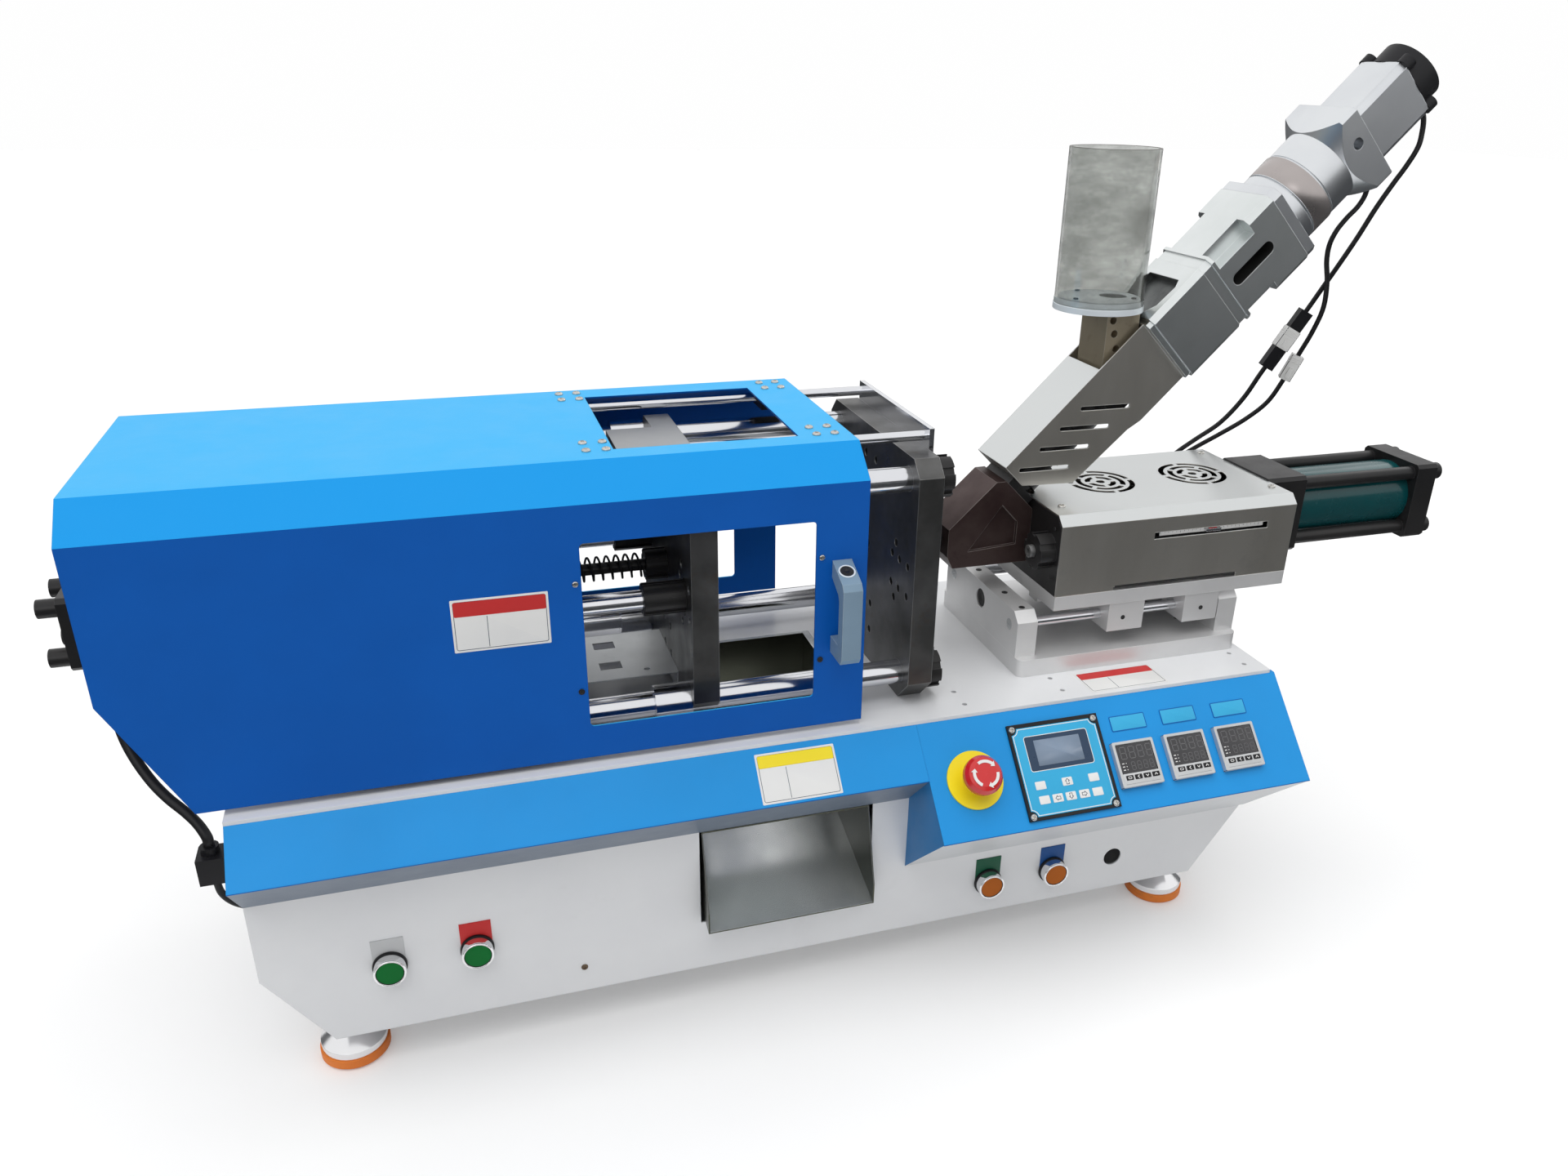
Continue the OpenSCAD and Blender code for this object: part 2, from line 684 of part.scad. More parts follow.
clamp_tube_ro = 28;
clamp_tube_ri = 25;
clamp_bolt_gap = 48;
clamp_bolt_r = 8.5;
port_x = clamp_cap_x + clamp_cap_t / 2;
port_r = 8;
port_l = 14;
module clamp_cylinder() {
  cap_x = [clamp_cap_x, rear_x - clamp_cap_t];
  half = clamp_cap_w / 2;
  stud = 5;
  color("black") {
    difference() {
      union() {
        for (x = cap_x) along_x(x, x + clamp_cap_t) translate([axis_y, axis_z])
          polygon(cut_rect(half, half, 4));
        rod_z(axis_z - half - port_l, axis_z - half, port_x, axis_y, port_r);
      }
      rod_x(cap_x[1] - cut, rear_x + cut, axis_y, axis_z, clamp_rod_r + run_gap);
      for (x = cap_x, y = [-1, 1], z = [-1, 1])
        rod_x(x - cut, x + clamp_cap_t + cut, axis_y + y * clamp_bolt_gap / 2,
              axis_z + z * clamp_bolt_gap / 2, stud + fit_gap);
    }
    difference() {
      rod_x(clamp_cap_x + clamp_cap_t, cap_x[1], axis_y, axis_z, clamp_tube_ro);
      rod_x(clamp_cap_x + clamp_cap_t - cut, cap_x[1] + cut, axis_y, axis_z, clamp_tube_ri);
    }
    for (y = [-1, 1], z = [-1, 1]) {
      by = axis_y + y * clamp_bolt_gap / 2;
      bz = axis_z + z * clamp_bolt_gap / 2;
      rod_x(clamp_cap_x, rear_x, by, bz, stud);
      difference() {
        rod_x(clamp_left, clamp_cap_x, by, bz, clamp_bolt_r);
        rod_x(clamp_left - cut, clamp_left + 7, by, bz, 4.6, $fn = 6);
      }
    }
  }
}

moving_low = top_z + 8;
moving_right = moving_x + platen_t;
push_spots = [axis_y - push_gap / 2, axis_y + push_gap / 2];
head_block = [47, 106, 15];
guide_nut_r = 16;
guide_nut_l = 22;
push_nut_l = 40;
module moving_platen() {
  color("dimgray") {
    difference() {
      along_x(moving_x, moving_right) platen_outline(moving_w, moving_low, 26, 26);
      for (b = bar_spots) rod_x(moving_x - cut, moving_right + cut, b[0], b[1], bar_r + loose_gap);
      mould_holes(moving_x, moving_right);
      rod_x(moving_x - cut, moving_right + cut, axis_y, axis_z, ejector_r + run_gap);
    }
    block([moving_x - head_block[0], axis_y - head_block[1] / 2, platen_top - head_block[2]],
          [moving_x, axis_y + head_block[1] / 2, platen_top]);
    for (y = push_spots)
      slotted_nut(moving_x - push_nut_l, moving_x, y, axis_z, guide_nut_r, push_r + fit_gap);
  }
}
module platen_bushes() {
  color("silver") for (b = bar_spots) difference() {
    rod_x(moving_x - bush_l, moving_x, b[0], b[1], bush_r);
    rod_x(moving_x - bush_l - cut, moving_x + cut, b[0], b[1], bar_r + run_gap);
  }
  color("black") slotted_nut(moving_x - guide_nut_l, moving_x, axis_y, axis_z, guide_nut_r,
                             ejector_r + run_gap);
}
crosshead_x = rear_x + platen_t + 64;
ejector_boss_l = 30;
piston_t = 12;
piston_x = clamp_cap_x + clamp_cap_t + 1;
module clamp_ram() {
  arm_w = push_gap + 4 * push_r;
  arm_h = 60;
  color("silver") {
    difference() {
      union() {
        along_x(crosshead_x, crosshead_x + crosshead_t) translate([axis_y, axis_z])
          polygon(cut_rect(arm_w / 2, arm_h / 2, 12));
        rod_x(crosshead_x + crosshead_t, crosshead_x + crosshead_t + ejector_boss_l,
              axis_y, axis_z, 14);
      }
      rod_x(crosshead_x + crosshead_t, crosshead_x + crosshead_t + ejector_boss_l + cut,
            axis_y, axis_z, ejector_r + run_gap);
    }
    for (y = push_spots) rod_x(crosshead_x + crosshead_t, moving_x, y, axis_z, push_r);
    rod_x(piston_x + piston_t, crosshead_x, axis_y, axis_z, clamp_rod_r);
    rod_x(piston_x, piston_x + piston_t, axis_y, axis_z, clamp_tube_ri - run_gap);
  }
}
// Folded tray between the rear of the moving platen and the machine axis
tray_z = 32;
tray_l = 122;
module drip_tray() {
  wall = 1.5;
  back = 22;
  slot = [22, 16];
  color("gainsboro") difference() {
    union() {
      block([moving_x - tray_l, axis_y - 52, top_z + tray_z],
            [moving_x, axis_y + 52, top_z + tray_z + wall]);
      block([moving_x - wall, axis_y - 52, top_z + tray_z - back],
            [moving_x, axis_y + 52, top_z + tray_z]);
    }
    for (y = [-49, 31]) block([moving_x - 76, axis_y + y * 0.6, top_z + tray_z - cut],
      [moving_x - 76 + slot[0], axis_y + y * 0.6 + slot[1], top_z + tray_z + wall + cut]);
    rod_z(top_z + tray_z - cut, top_z + tray_z + wall + cut, moving_x - 30, axis_y - 38, 3);
  }
}

spring_right = moving_x - guide_nut_l;
spring_left = spring_right - spring_l;
ejector_left = crosshead_x + crosshead_t + 4;
module ejector_rod() {
  collar_l = 8;
  color("dimgray") {
    rod_x(ejector_left, moving_right - 2, axis_y, axis_z, ejector_r);
    rod_x(spring_left - collar_l, spring_left, axis_y, axis_z, spring_r + 1);
  }
}
module ejector_spring() {
  steps = 16;
  count = spring_turns * steps;
  path_r = spring_r - wire_r;
  run = spring_l - 2 * wire_r;
  color("black") cord([for (i = [0:count]) let (a = i * 360 / steps) [
    spring_left + wire_r + run * i / count, axis_y + path_r * cos(a), axis_z + path_r * sin(a)
  ]], 2 * wire_r, 6);
}

// ---- guard -----------------------------------------------------------------
guard_left = guard_end - guard_w;
guard_y0 = 4;
guard_y1 = guard_y0 + guard_d;
guard_mid = (guard_y0 + guard_y1) / 2;
guard_low = top_z + guard_gap;
guard_top = axis_z + guard_up;
guard_back_lift = 11;
bearing_block_h = 19;
bearing_block_w = 40;
bearing_block_l = 30;
guard_rod_z = guard_top - guard_t - bearing_block_h / 2;
bearing_spots = [guard_end - 241, guard_end - 25];
guard_rod_y = [guard_mid - guard_rod_gap / 2 + 4, guard_mid + guard_rod_gap / 2 + 4];
bracket_t = 5;
module guard_bracket(x) {
  top = guard_rod_z + guard_rod_r + 4;
  half = guard_rod_gap / 2 + 10;
  mid = (guard_rod_y[0] + guard_rod_y[1]) / 2;
  difference() {
    block([x, mid - half, platen_top - 22], [x + bracket_t, mid + half, top]);
    for (b = bar_spots) rod_x(x - cut, x + bracket_t + cut, b[0], b[1], nut_r + loose_gap);
    for (y = guard_rod_y)
      rod_x(x - cut, x + bracket_t + cut, y, guard_rod_z, guard_rod_r + fit_gap);
  }
}
module guard_rods() {
  color("silver") {
    guard_bracket(rear_x - bracket_t);
    guard_bracket(platen_right);
    for (y = guard_rod_y)
      rod_x(rear_x - bracket_t, platen_right + bracket_t, y, guard_rod_z, guard_rod_r);
  }
}
function guard_outline(low) = [
  [guard_y0, low], [guard_y1, low], [guard_y1, guard_top - bevel_h],
  [guard_y1 - bevel_w, guard_top], [guard_y0 + bevel_w, guard_top],
  [guard_y0, guard_top - bevel_h]
];
window_right = guard_end - window_inset;
window_low = guard_low + 33;
top_window = [guard_end - 225.5, 64, guard_end - 51.5, 253];
corner_run = 55.5;
corner_rise = 112;
module guard_cover() {
  color("royalblue") difference() {
    along_x(guard_left, guard_end) polygon(guard_outline(guard_low));
    along_x(guard_left - cut, guard_end + cut)
      polygon(inset(guard_outline(guard_low - 2 * guard_t), guard_t));
    along_y(guard_y0 - cut, guard_y1 + cut) polygon([
      [guard_left - cut, guard_low - cut], [guard_left + corner_run, guard_low - cut],
      [guard_left + corner_run, guard_low], [guard_left, guard_low + corner_rise],
      [guard_left - cut, guard_low + corner_rise]
    ]);
    block([guard_left - cut, guard_y1 - guard_t - cut, guard_low - cut],
          [guard_end + cut, guard_y1 + cut, guard_low + guard_back_lift]);
    along_y(guard_y0 - cut, guard_y1 + cut) translate([window_right - window_w, window_low])
      rounded_rect(window_w, window_h, 4);
    block([top_window[0], top_window[1], guard_top - guard_t - cut],
          [top_window[2], top_window[3], guard_top + cut]);
  }
}
handle_x = guard_end - 35;
handle_w = 19;
handle_low = guard_low + 80;
handle_high = guard_low + 175;
handle_out = 34;
handle_bar = 12;
module guard_handle() {
  out = guard_y0 - handle_out;
  color("lightsteelblue") along_x(handle_x, handle_x + handle_w) polygon([
    [guard_y0, handle_low], [out + 4, handle_low], [out, handle_low + 6],
    [out, handle_high - 19], [out + 4, handle_high - 13], [guard_y0, handle_high],
    [guard_y0, handle_high - 17], [out + handle_bar + 3, handle_high - 27],
    [out + handle_bar, handle_high - 33], [out + handle_bar, handle_low + 17],
    [guard_y0, handle_low + 17]
  ]);
}
module guard_bearings() {
  color("black") for (x = bearing_spots, y = guard_rod_y) difference() {
    block([x - bearing_block_l / 2, y - bearing_block_w / 2, guard_top - guard_t - bearing_block_h],
          [x + bearing_block_l / 2, y + bearing_block_w / 2, guard_top - guard_t]);
    rod_x(x - bearing_block_l, x + bearing_block_l, y, guard_rod_z, guard_rod_r + run_gap);
  }
}

// ---- nozzle carriage -------------------------------------------------------
slide_right = slide_x + slide_l;
rail_y = [axis_y - rail_gap / 2, axis_y + rail_gap / 2];
end_x = [slide_x, slide_right - end_block_t];
seat_hole_r = 11;
module slide_base() {
  color("whitesmoke") translate([slide_x, axis_y - slide_w / 2, top_z])
    linear_extrude(slide_t) rounded_rect(slide_l, slide_w, 8);
}
module rail_end_blocks() {
  w = (slide_w - 21) / 2;
  c = 11;
  color("whitesmoke") for (x = end_x) difference() {
    along_x(x, x + end_block_t) polygon([
      [axis_y - w, slide_top], [axis_y + w, slide_top], [axis_y + w, slide_top + end_block_h - c],
      [axis_y + w - c, slide_top + end_block_h], [axis_y - w + c, slide_top + end_block_h],
      [axis_y - w, slide_top + end_block_h - c]
    ]);
    for (y = rail_y) rod_x(x - cut, x + end_block_t + cut, y, rail_z, rail_r + fit_gap);
    rod_x(x - cut, x + end_block_t + cut, axis_y, rail_z, seat_hole_r);
  }
}
seat_tube_l = 80;
seat_rod_r = 4;
seat_lug = [carriage_x + 28, 12, 20];
// The two rails, and between them the small cylinder that draws the carriage to the mould
module slide_rails() {
  x1 = end_x[1];
  color("silver") {
    for (y = rail_y) rod_x(slide_x, slide_right, y, rail_z, rail_r);
    difference() {
      rod_x(x1 - seat_tube_l, x1, axis_y, rail_z, 12);
      rod_x(x1 - seat_tube_l - cut, x1 - 6, axis_y, rail_z, seat_rod_r + run_gap);
    }
    rod_x(x1, slide_right, axis_y, rail_z, seat_hole_r - fit_gap);
  }
}
module carriage_plate() {
  rod_end = end_x[1] - 16;
  color("whitesmoke") {
    block([carriage_x, axis_y - carriage_w / 2, carriage_z],
          [carriage_right, axis_y + carriage_w / 2, deck_z]);
    block([seat_lug[0], axis_y - seat_lug[2] / 2, rail_z - 9],
          [seat_lug[0] + seat_lug[1], axis_y + seat_lug[2] / 2, carriage_z]);
    rod_x(seat_lug[0] + seat_lug[1], rod_end, axis_y, rail_z, seat_rod_r);
  }
}
bearing_inset = 70;
bearing_step = 96;
bearing_x = [carriage_x + bearing_inset, carriage_x + bearing_inset + bearing_step];
module rail_bearings() {
  half = slide_w / 2 - rail_gap / 2 - 9;
  color("whitesmoke") for (x = bearing_x, y = rail_y) difference() {
    block([x, y - half, rail_z - 13.5], [x + bearing_l, y + half, carriage_z]);
    rod_x(x - cut, x + bearing_l + cut, y, rail_z, rail_r + run_gap);
  }
}

// ---- injection unit --------------------------------------------------------
function cover_outline(low) = [
  [axis_y - carriage_w / 2, low], [axis_y + carriage_w / 2, low],
  [axis_y + carriage_w / 2, cover_top - 10], [axis_y + carriage_w / 2 - 10, cover_top],
  [axis_y - carriage_w / 2 + 10, cover_top], [axis_y - carriage_w / 2, cover_top - 10]
];
vent_spots = [carriage_x + 101, carriage_x + 222];
vent_y = axis_y + 4;
slot_z = axis_z + 13.5;
slot_h = 7.5;
pointer_x = carriage_x + 188;
pointer_w = 19;
slot_x = [pointer_x - pointer_w / 2 - plunger_travel - 10, pointer_x + pointer_w / 2 + plunger_travel + 5];
grommet_x = [carriage_right - 40, carriage_right - 24];
grommet_z = deck_z + 41;
module vent(x) {
  bridge = 5;
  z = cover_top - cover_t - cut;
  h = cover_t + 2 * cut;
  translate([x, vent_y, z]) {
    for (i = [0:2]) difference() {
      cylinder(h = h, r = 38.5 - i * 10.5);
      translate([0, 0, -cut]) cylinder(h = h + 2 * cut, r = 32.5 - i * 10.5);
      for (a = [0, 90]) rotate([0, 0, a + i * 45])
        translate([-40, -bridge / 2, -cut]) cube([80, bridge, h + 2 * cut]);
    }
    cylinder(h = h, r = 5);
  }
}
module injection_cover() {
  front = axis_y - carriage_w / 2;
  color("silver") difference() {
    along_x(carriage_x, carriage_right) polygon(cover_outline(deck_z));
    along_x(carriage_x - cut, carriage_right + cut)
      polygon(inset(cover_outline(deck_z - 2 * cover_t), cover_t));
    for (x = vent_spots) vent(x);
    block([slot_x[0], front - cut, slot_z - slot_h / 2],
          [slot_x[1], front + cover_t + cut, slot_z + slot_h / 2]);
    block([carriage_x + 70, front - cut, deck_z - cut],
          [carriage_x + 226, front + cover_t + cut, deck_z + 4.5]);
    barrel_room();
    for (x = grommet_x)
      rod_y(front + carriage_w - cover_t - cut, front + carriage_w + cut, x, grommet_z,
            motor_cable_d / 2 + 0.3);
  }
}
frame_t = 10;
pull_r = 10;
pull_y = [axis_y - 70, axis_y + 70];
pull_nut_l = 18;
module injection_frame() {
  plate_x = [carriage_x, carriage_right - frame_t];
  w = carriage_w / 2 - cover_t - 0.5;
  color("dimgray") {
    for (x = plate_x) difference() {
      along_x(x, x + frame_t) polygon([
        [axis_y - w, deck_z], [axis_y + w, deck_z], [axis_y + w, cover_top - 14],
        [axis_y + w - 9, cover_top - cover_t - 0.5], [axis_y - w + 9, cover_top - cover_t - 0.5],
        [axis_y - w, cover_top - 14]
      ]);
      rod_x(x - cut, x + frame_t + cut, axis_y, axis_z, plunger_rod_r + loose_gap);
      for (y = pull_y) rod_x(x - cut, x + frame_t + cut, y, axis_z, pull_r + fit_gap);
      barrel_room();
    }
    for (y = pull_y) {
      rod_x(carriage_x - pull_nut_l, carriage_right, y, axis_z, pull_r);
      slotted_nut(carriage_x - pull_nut_l, carriage_x, y, axis_z, 20, pull_r + fit_gap);
    }
  }
}

plunger_rod_r = 12.5;
nozzle_r = 9;
nozzle_seat_l = 18;
heat_left = cross_x - 34;
band_t = 4;
band_l = 30;
// Places pieces on the feed axis: x runs up the axis, z away from it, from the crossing point
module inclined() {
  translate([cross_x, axis_y, axis_z]) rotate([0, -45, 0]) children();
}
function on_feed_axis(s, n) = [cross_x + (s - n) / sqrt(2), axis_z + (s + n) / sqrt(2)];
// Room for the barrel and its heater bands where they pass the cover and the front plate
module barrel_room() {
  inclined() rod_x(flange_s - 8, flange_s + 3 * band_l, 0, 0, barrel_r + band_t + 2.5);
}
module heated_block() {
  low = 30;
  color("saddlebrown") difference() {
    along_y(axis_y - heat_w / 2, axis_y + heat_w / 2) polygon([
      [heat_left, axis_z - 16], [heat_left + 7, axis_z - low], [carriage_x, axis_z - low],
      on_feed_axis(flange_s, -sqrt(2) * heat_right + flange_s),
      on_feed_axis(flange_s, 25), [cross_x + 18.5, axis_z + flange_s * sqrt(2) / 2 + 17.5],
      [heat_left, axis_z + 15.5]
    ]);
    rod_x(cross_x - 20, carriage_x + cut, axis_y, axis_z, plunger_r + run_gap);
    rod_x(heat_left - cut, cross_x - 19, axis_y, axis_z, 3);
    rod_x(heat_left - cut, heat_left + nozzle_seat_l, axis_y, axis_z, nozzle_r + fit_gap);
    inclined() rod_x(0, flange_s + 10, 0, 0, screw_r - 2);
    along_y(axis_y - heat_w / 2 - cut, axis_y - heat_w / 2 + 4) polygon([
      [cross_x - 10, axis_z - 12], [cross_x + 47, axis_z - 8], [cross_x + 47, axis_z + 18],
      [cross_x + 27.5, axis_z + 38.5]
    ]);
  }
}
nozzle_reach = 19;
module nozzle() {
  color("dimgray") difference() {
    translate([heat_left, axis_y, axis_z]) rotate([0, 90, 0]) rotate_extrude() polygon([
      [0, -nozzle_reach], [5, -nozzle_reach], [8, -nozzle_reach + 5], [13, -nozzle_reach + 8],
      [13, 0], [nozzle_r, 0], [nozzle_r, nozzle_seat_l], [0, nozzle_seat_l]
    ]);
    rod_x(heat_left - nozzle_reach - cut, heat_left + nozzle_seat_l + cut, axis_y, axis_z, 2);
  }
}

cyl_bolt_gap = cyl_cap_w - 24;
cyl_tube_wall = 4;
module injection_cylinder_caps() {
  half = cyl_cap_w / 2;
  color("black") {
    difference() {
      union() {
        along_x(carriage_right, cap_left) translate([axis_y, axis_z]) polygon(cut_rect(half, half, 4));
        along_x(tube_right, cyl_right) translate([axis_y, axis_z]) polygon(cut_rect(half, half, 4));
      }
      rod_x(carriage_right - cut, cap_left + cut, axis_y, axis_z, plunger_rod_r + run_gap);
      rod_x(cyl_right - 6, cyl_right + cut, axis_y, axis_z - 20, 6);
    }
    for (y = [-1, 1], z = [-1, 1]) {
      by = axis_y + y * cyl_bolt_gap / 2;
      bz = axis_z + z * cyl_bolt_gap / 2;
      rod_x(cap_left, tube_right, by, bz, cyl_rod_r);
      difference() {
        rod_x(cyl_right, machine_right, by, bz, cyl_rod_r + 2);
        rod_x(machine_right - 5, machine_right + cut, by, bz, 5, $fn = 6);
      }
    }
  }
}
module injection_cylinder_tube() {
  color("teal") difference() {
    rod_x(cap_left, tube_right, axis_y, axis_z, cyl_tube_r);
    rod_x(cap_left - cut, tube_right + cut, axis_y, axis_z, cyl_tube_r - cyl_tube_wall);
  }
}
module plunger() {
  tip = carriage_x - 14;
  coupling = [pointer_x - 22, pointer_x + 22];
  head_x = cap_left + cyl_tube_l / 2;
  head_t = 16;
  color("silver") {
    rod_x(tip, coupling[0], axis_y, axis_z, plunger_r);
    rod_x(coupling[0], coupling[1], axis_y, axis_z, 18);
    rod_x(coupling[1], head_x, axis_y, axis_z, plunger_rod_r);
    rod_x(head_x - head_t / 2, head_x + head_t / 2, axis_y, axis_z,
          cyl_tube_r - cyl_tube_wall - run_gap);
    block([pointer_x - pointer_w / 2, axis_y - carriage_w / 2 + 0.5, slot_z - 1.5],
          [pointer_x + pointer_w / 2, axis_y - 8, slot_z + 1.5]);
  }
}

// ---- feed unit -------------------------------------------------------------
hopper_reach = 133;
hopper_x = cross_x + hopper_reach;
feed_x0 = hopper_x - 2;
feed_x1 = feed_x0 + feed_w;
feed_hole_x = feed_x0 + feed_w / 2;
feed_hole_r = 10;
feed_flat = barrel_r + 4;
feed_top = axis_z + 240;
housing_flange = 6;
module barrel() {
  feed_s0 = housing_s - 81;
  color("dimgray") {
    difference() {
      inclined() {
        block([flange_s, -heat_w / 2, -barrel_r + 4], [flange_s + flange_t, heat_w / 2, feed_flat]);
        rod_x(flange_s, housing_s, 0, 0, barrel_r);
        block([feed_s0, -feed_flat, -feed_flat], [housing_s, feed_flat, feed_flat]);
      }
      inclined() rod_x(flange_s - cut, housing_s + cut, 0, 0, screw_r + run_gap);
      rod_z(axis_z + feed_hole_x - cross_x, feed_top, feed_hole_x, axis_y, feed_hole_r);
    }
    inclined() for (i = [0:2]) {
      s = flange_s + flange_t + 8 + i * (band_l + 8);
      difference() {
        rod_x(s, s + band_l, 0, 0, barrel_r + band_t);
        rod_x(s - cut, s + band_l + cut, 0, 0, barrel_r);
      }
    }
  }
}
// Side outline of the barrel cover along the feed axis
function barrel_cover_outline(s0, s1, n) = [
  [s0, n], [s0, 11], [s0 + 42, -33], [s1 - 82, -36], [s1 - 65, -40], [s1, -40], [s1, n]
];
barrel_cover_n = 42;
cover_s0 = flange_s + flange_t;
module barrel_cover() {
  open_s = housing_s - 64;
  slot_start = [[99.9, 25.4], [69.5, 26.5], [39.3, 27], [8.7, 27.4]];
  slot_l = 59;
  slot_w = 4.5;
  color("silver") difference() {
    inclined() difference() {
      along_y(-barrel_cover_y, barrel_cover_y)
        polygon(barrel_cover_outline(cover_s0, housing_s, barrel_cover_n));
      along_y(-barrel_cover_y + cover_t, barrel_cover_y - cover_t)
        polygon([
          [cover_s0 + cover_t, barrel_cover_n - cover_t], [cover_s0 + cover_t, -60],
          [housing_s + cut, -60], [housing_s + cut, barrel_cover_n - cover_t]
        ]);
      block([open_s, -barrel_cover_y + cover_t, 0],
            [housing_s + cut, barrel_cover_y - cover_t, barrel_cover_n + cut]);
      rod_x(cover_s0 - cut, cover_s0 + 3 * cover_t, 0, 0, barrel_r + loose_gap);
      block([cover_s0 - 2, -barrel_cover_y + cover_t, -60],
            [cover_s0 + 2 * cover_t, barrel_cover_y - cover_t, -feed_flat]);
    }
    for (p = slot_start) {
      at = on_feed_axis(cover_s0 + p[0], p[1]);
      along_y(axis_y - barrel_cover_y - cut, axis_y + barrel_cover_y + cut)
        translate([at[0], at[1] - slot_w / 2]) rounded_rect(slot_l, slot_w, slot_w / 2 - 0.05);
    }
  }
}
coupling_r = 15;
adaptor_s = housing_s + housing_l;
gear_s = adaptor_s + adaptor_l;
coupling_s = [adaptor_s + 20, adaptor_s + 82];
shaft_r = 8;
module feed_screw() {
  start = flange_s + 3;
  turns = 10;
  flight_l = housing_s - start - 20;
  core = 0.6 * screw_r;
  color("silver") inclined() {
    translate([start, 0, 0]) rotate([0, 90, 0])
      linear_extrude(flight_l, twist = -360 * turns, slices = turns * 12, $fn = 12) union() {
        circle(core, $fn = 12);
        polygon([
          [0, 0], for (a = [-24:12:24]) [screw_r * cos(a), screw_r * sin(a)]
        ]);
      }
    rod_x(start + flight_l, coupling_s[0], 0, 0, shaft_r);
    rod_x(coupling_s[0], coupling_s[1], 0, 0, coupling_r);
    rod_x(coupling_s[1], gear_s + 8, 0, 0, shaft_r);
  }
}
feed_block_y = 26;
module feed_block() {
  hole_r = 4;
  low = function (x) axis_z + (x - cross_x) + feed_flat * sqrt(2);
  color("tan") difference() {
    along_y(axis_y - feed_block_y, axis_y + feed_block_y) polygon([
      [feed_x0, low(feed_x0)], [feed_x1, low(feed_x1)], [feed_x1, feed_top], [feed_x0, feed_top]
    ]);
    rod_z(axis_z, feed_top + cut, feed_hole_x, axis_y, feed_hole_r);
    for (p = [[7, 8], [10, 22], [14, 38]])
      rod_y(axis_y - feed_block_y - cut, axis_y - 14, feed_x0 + p[0], feed_top - p[1], hole_r);
  }
}
module hopper() {
  hole_r = 14.5;
  color("lightcyan", 0.4) {
    difference() {
      rod_z(feed_top, feed_top + disc_t, hopper_x, axis_y, hopper_r + 0.5);
      rod_z(feed_top - cut, feed_top + disc_t + cut, feed_hole_x, axis_y, hole_r);
    }
    difference() {
      rod_z(feed_top + disc_t, feed_top + disc_t + hopper_h, hopper_x, axis_y, hopper_r);
      rod_z(feed_top + disc_t - cut, feed_top + disc_t + hopper_h + cut, hopper_x, axis_y,
            hopper_r - hopper_t);
    }
  }
}
// The dished pocket on the housing's upper face, in (s, y) from the housing's lower end
housing_pocket = [[11, 19], [24, 30], [50, 32], [59, 27]];
module feed_housing() {
  pocket_depth = 9;
  n = housing_y - 1;
  color("silver") inclined() difference() {
    union() {
      along_x(housing_s + housing_flange, adaptor_s) polygon(cut_rect(housing_y, n, 6));
      along_x(housing_s, housing_s + housing_flange)
        polygon(cut_rect(housing_y - 3, n - 3, 4));
    }
    rod_x(housing_s - cut, adaptor_s + cut, 0, 0, shaft_r + loose_gap);
    translate([housing_s, 0, n - pocket_depth]) linear_extrude(pocket_depth + cut)
      polygon(concat(housing_pocket, [for (i = [3:-1:0]) [housing_pocket[i][0], -housing_pocket[i][1]]]));
  }
}
module adaptor_block() {
  collar = 12;
  notch = [16, 66];
  slot_s = [20, 76];
  slot_z0 = -4;
  slot_d = 14;
  n = housing_y;
  color("silver") inclined() difference() {
    union() {
      along_x(adaptor_s, adaptor_s + collar) polygon(cut_rect(housing_y - 2, n - 2, 6));
      along_x(adaptor_s + collar, gear_s) polygon(cut_rect(housing_y, n, 6));
    }
    rod_x(adaptor_s - cut, gear_s + cut, 0, 0, coupling_r + 5);
    for (y = [-1, 1]) {
      block([adaptor_s + notch[0], y > 0 ? housing_y - 17 : -housing_y - cut, n - 17],
            [adaptor_s + notch[1], y > 0 ? housing_y + cut : -housing_y + 17, n + cut]);
      block([adaptor_s + notch[0], y > 0 ? housing_y - 17 : -housing_y - cut, -n - cut],
            [adaptor_s + notch[1] - 11, y > 0 ? housing_y + cut : -housing_y + 17, -n + 13]);
    }
    rod_y(-housing_y - cut, housing_y + cut, adaptor_s + slot_s[0] + slot_d / 2,
          slot_z0 + slot_d / 2, slot_d / 2);
    rod_y(-housing_y - cut, housing_y + cut, adaptor_s + slot_s[1] - slot_d / 2,
          slot_z0 + slot_d / 2, slot_d / 2);
    block([adaptor_s + slot_s[0] + slot_d / 2, -housing_y - cut, slot_z0],
          [adaptor_s + slot_s[1] - slot_d / 2, housing_y + cut, slot_z0 + slot_d]);
  }
}
gear_flange_t = 11;
motor_flange_t = 38;
motor_s = gear_s + gear_flange_t + gear_l + motor_flange_t;
module gearbox() {
  ring_s = gear_s + gear_flange_t;
  back_s = ring_s + gear_l;
  color("lightgray") inclined() difference() {
    union() {
      along_x(gear_s, ring_s) polygon(cut_rect(gear_r, gear_r, 8));
      rod_x(ring_s, ring_s + 11, 0, 0, gear_r);
      rod_x(ring_s + 11, ring_s + 13, 0, 0, gear_r - 2);
      rod_x(ring_s + 13, ring_s + 39, 0, 0, gear_r);
      rod_x(ring_s + 39, ring_s + 41, 0, 0, gear_r - 2);
      rod_x(ring_s + 41, back_s, 0, 0, gear_r - 1);
      intersection() {
        along_x(back_s, motor_s) polygon(cut_rect(gear_r, gear_r, 3));
        translate([back_s, 0, 0]) rotate([0, 90, 0])
          cylinder(h = motor_flange_t + cut, r1 = gear_r - 1, r2 = gear_r - 1 + motor_flange_t + cut);
      }
    }
    rod_x(gear_s - cut, gear_s + 9, 0, 0, shaft_r + run_gap);
    rod_y(-gear_r - cut, -gear_r + 22, back_s + 22, 12, 6);
  }
}
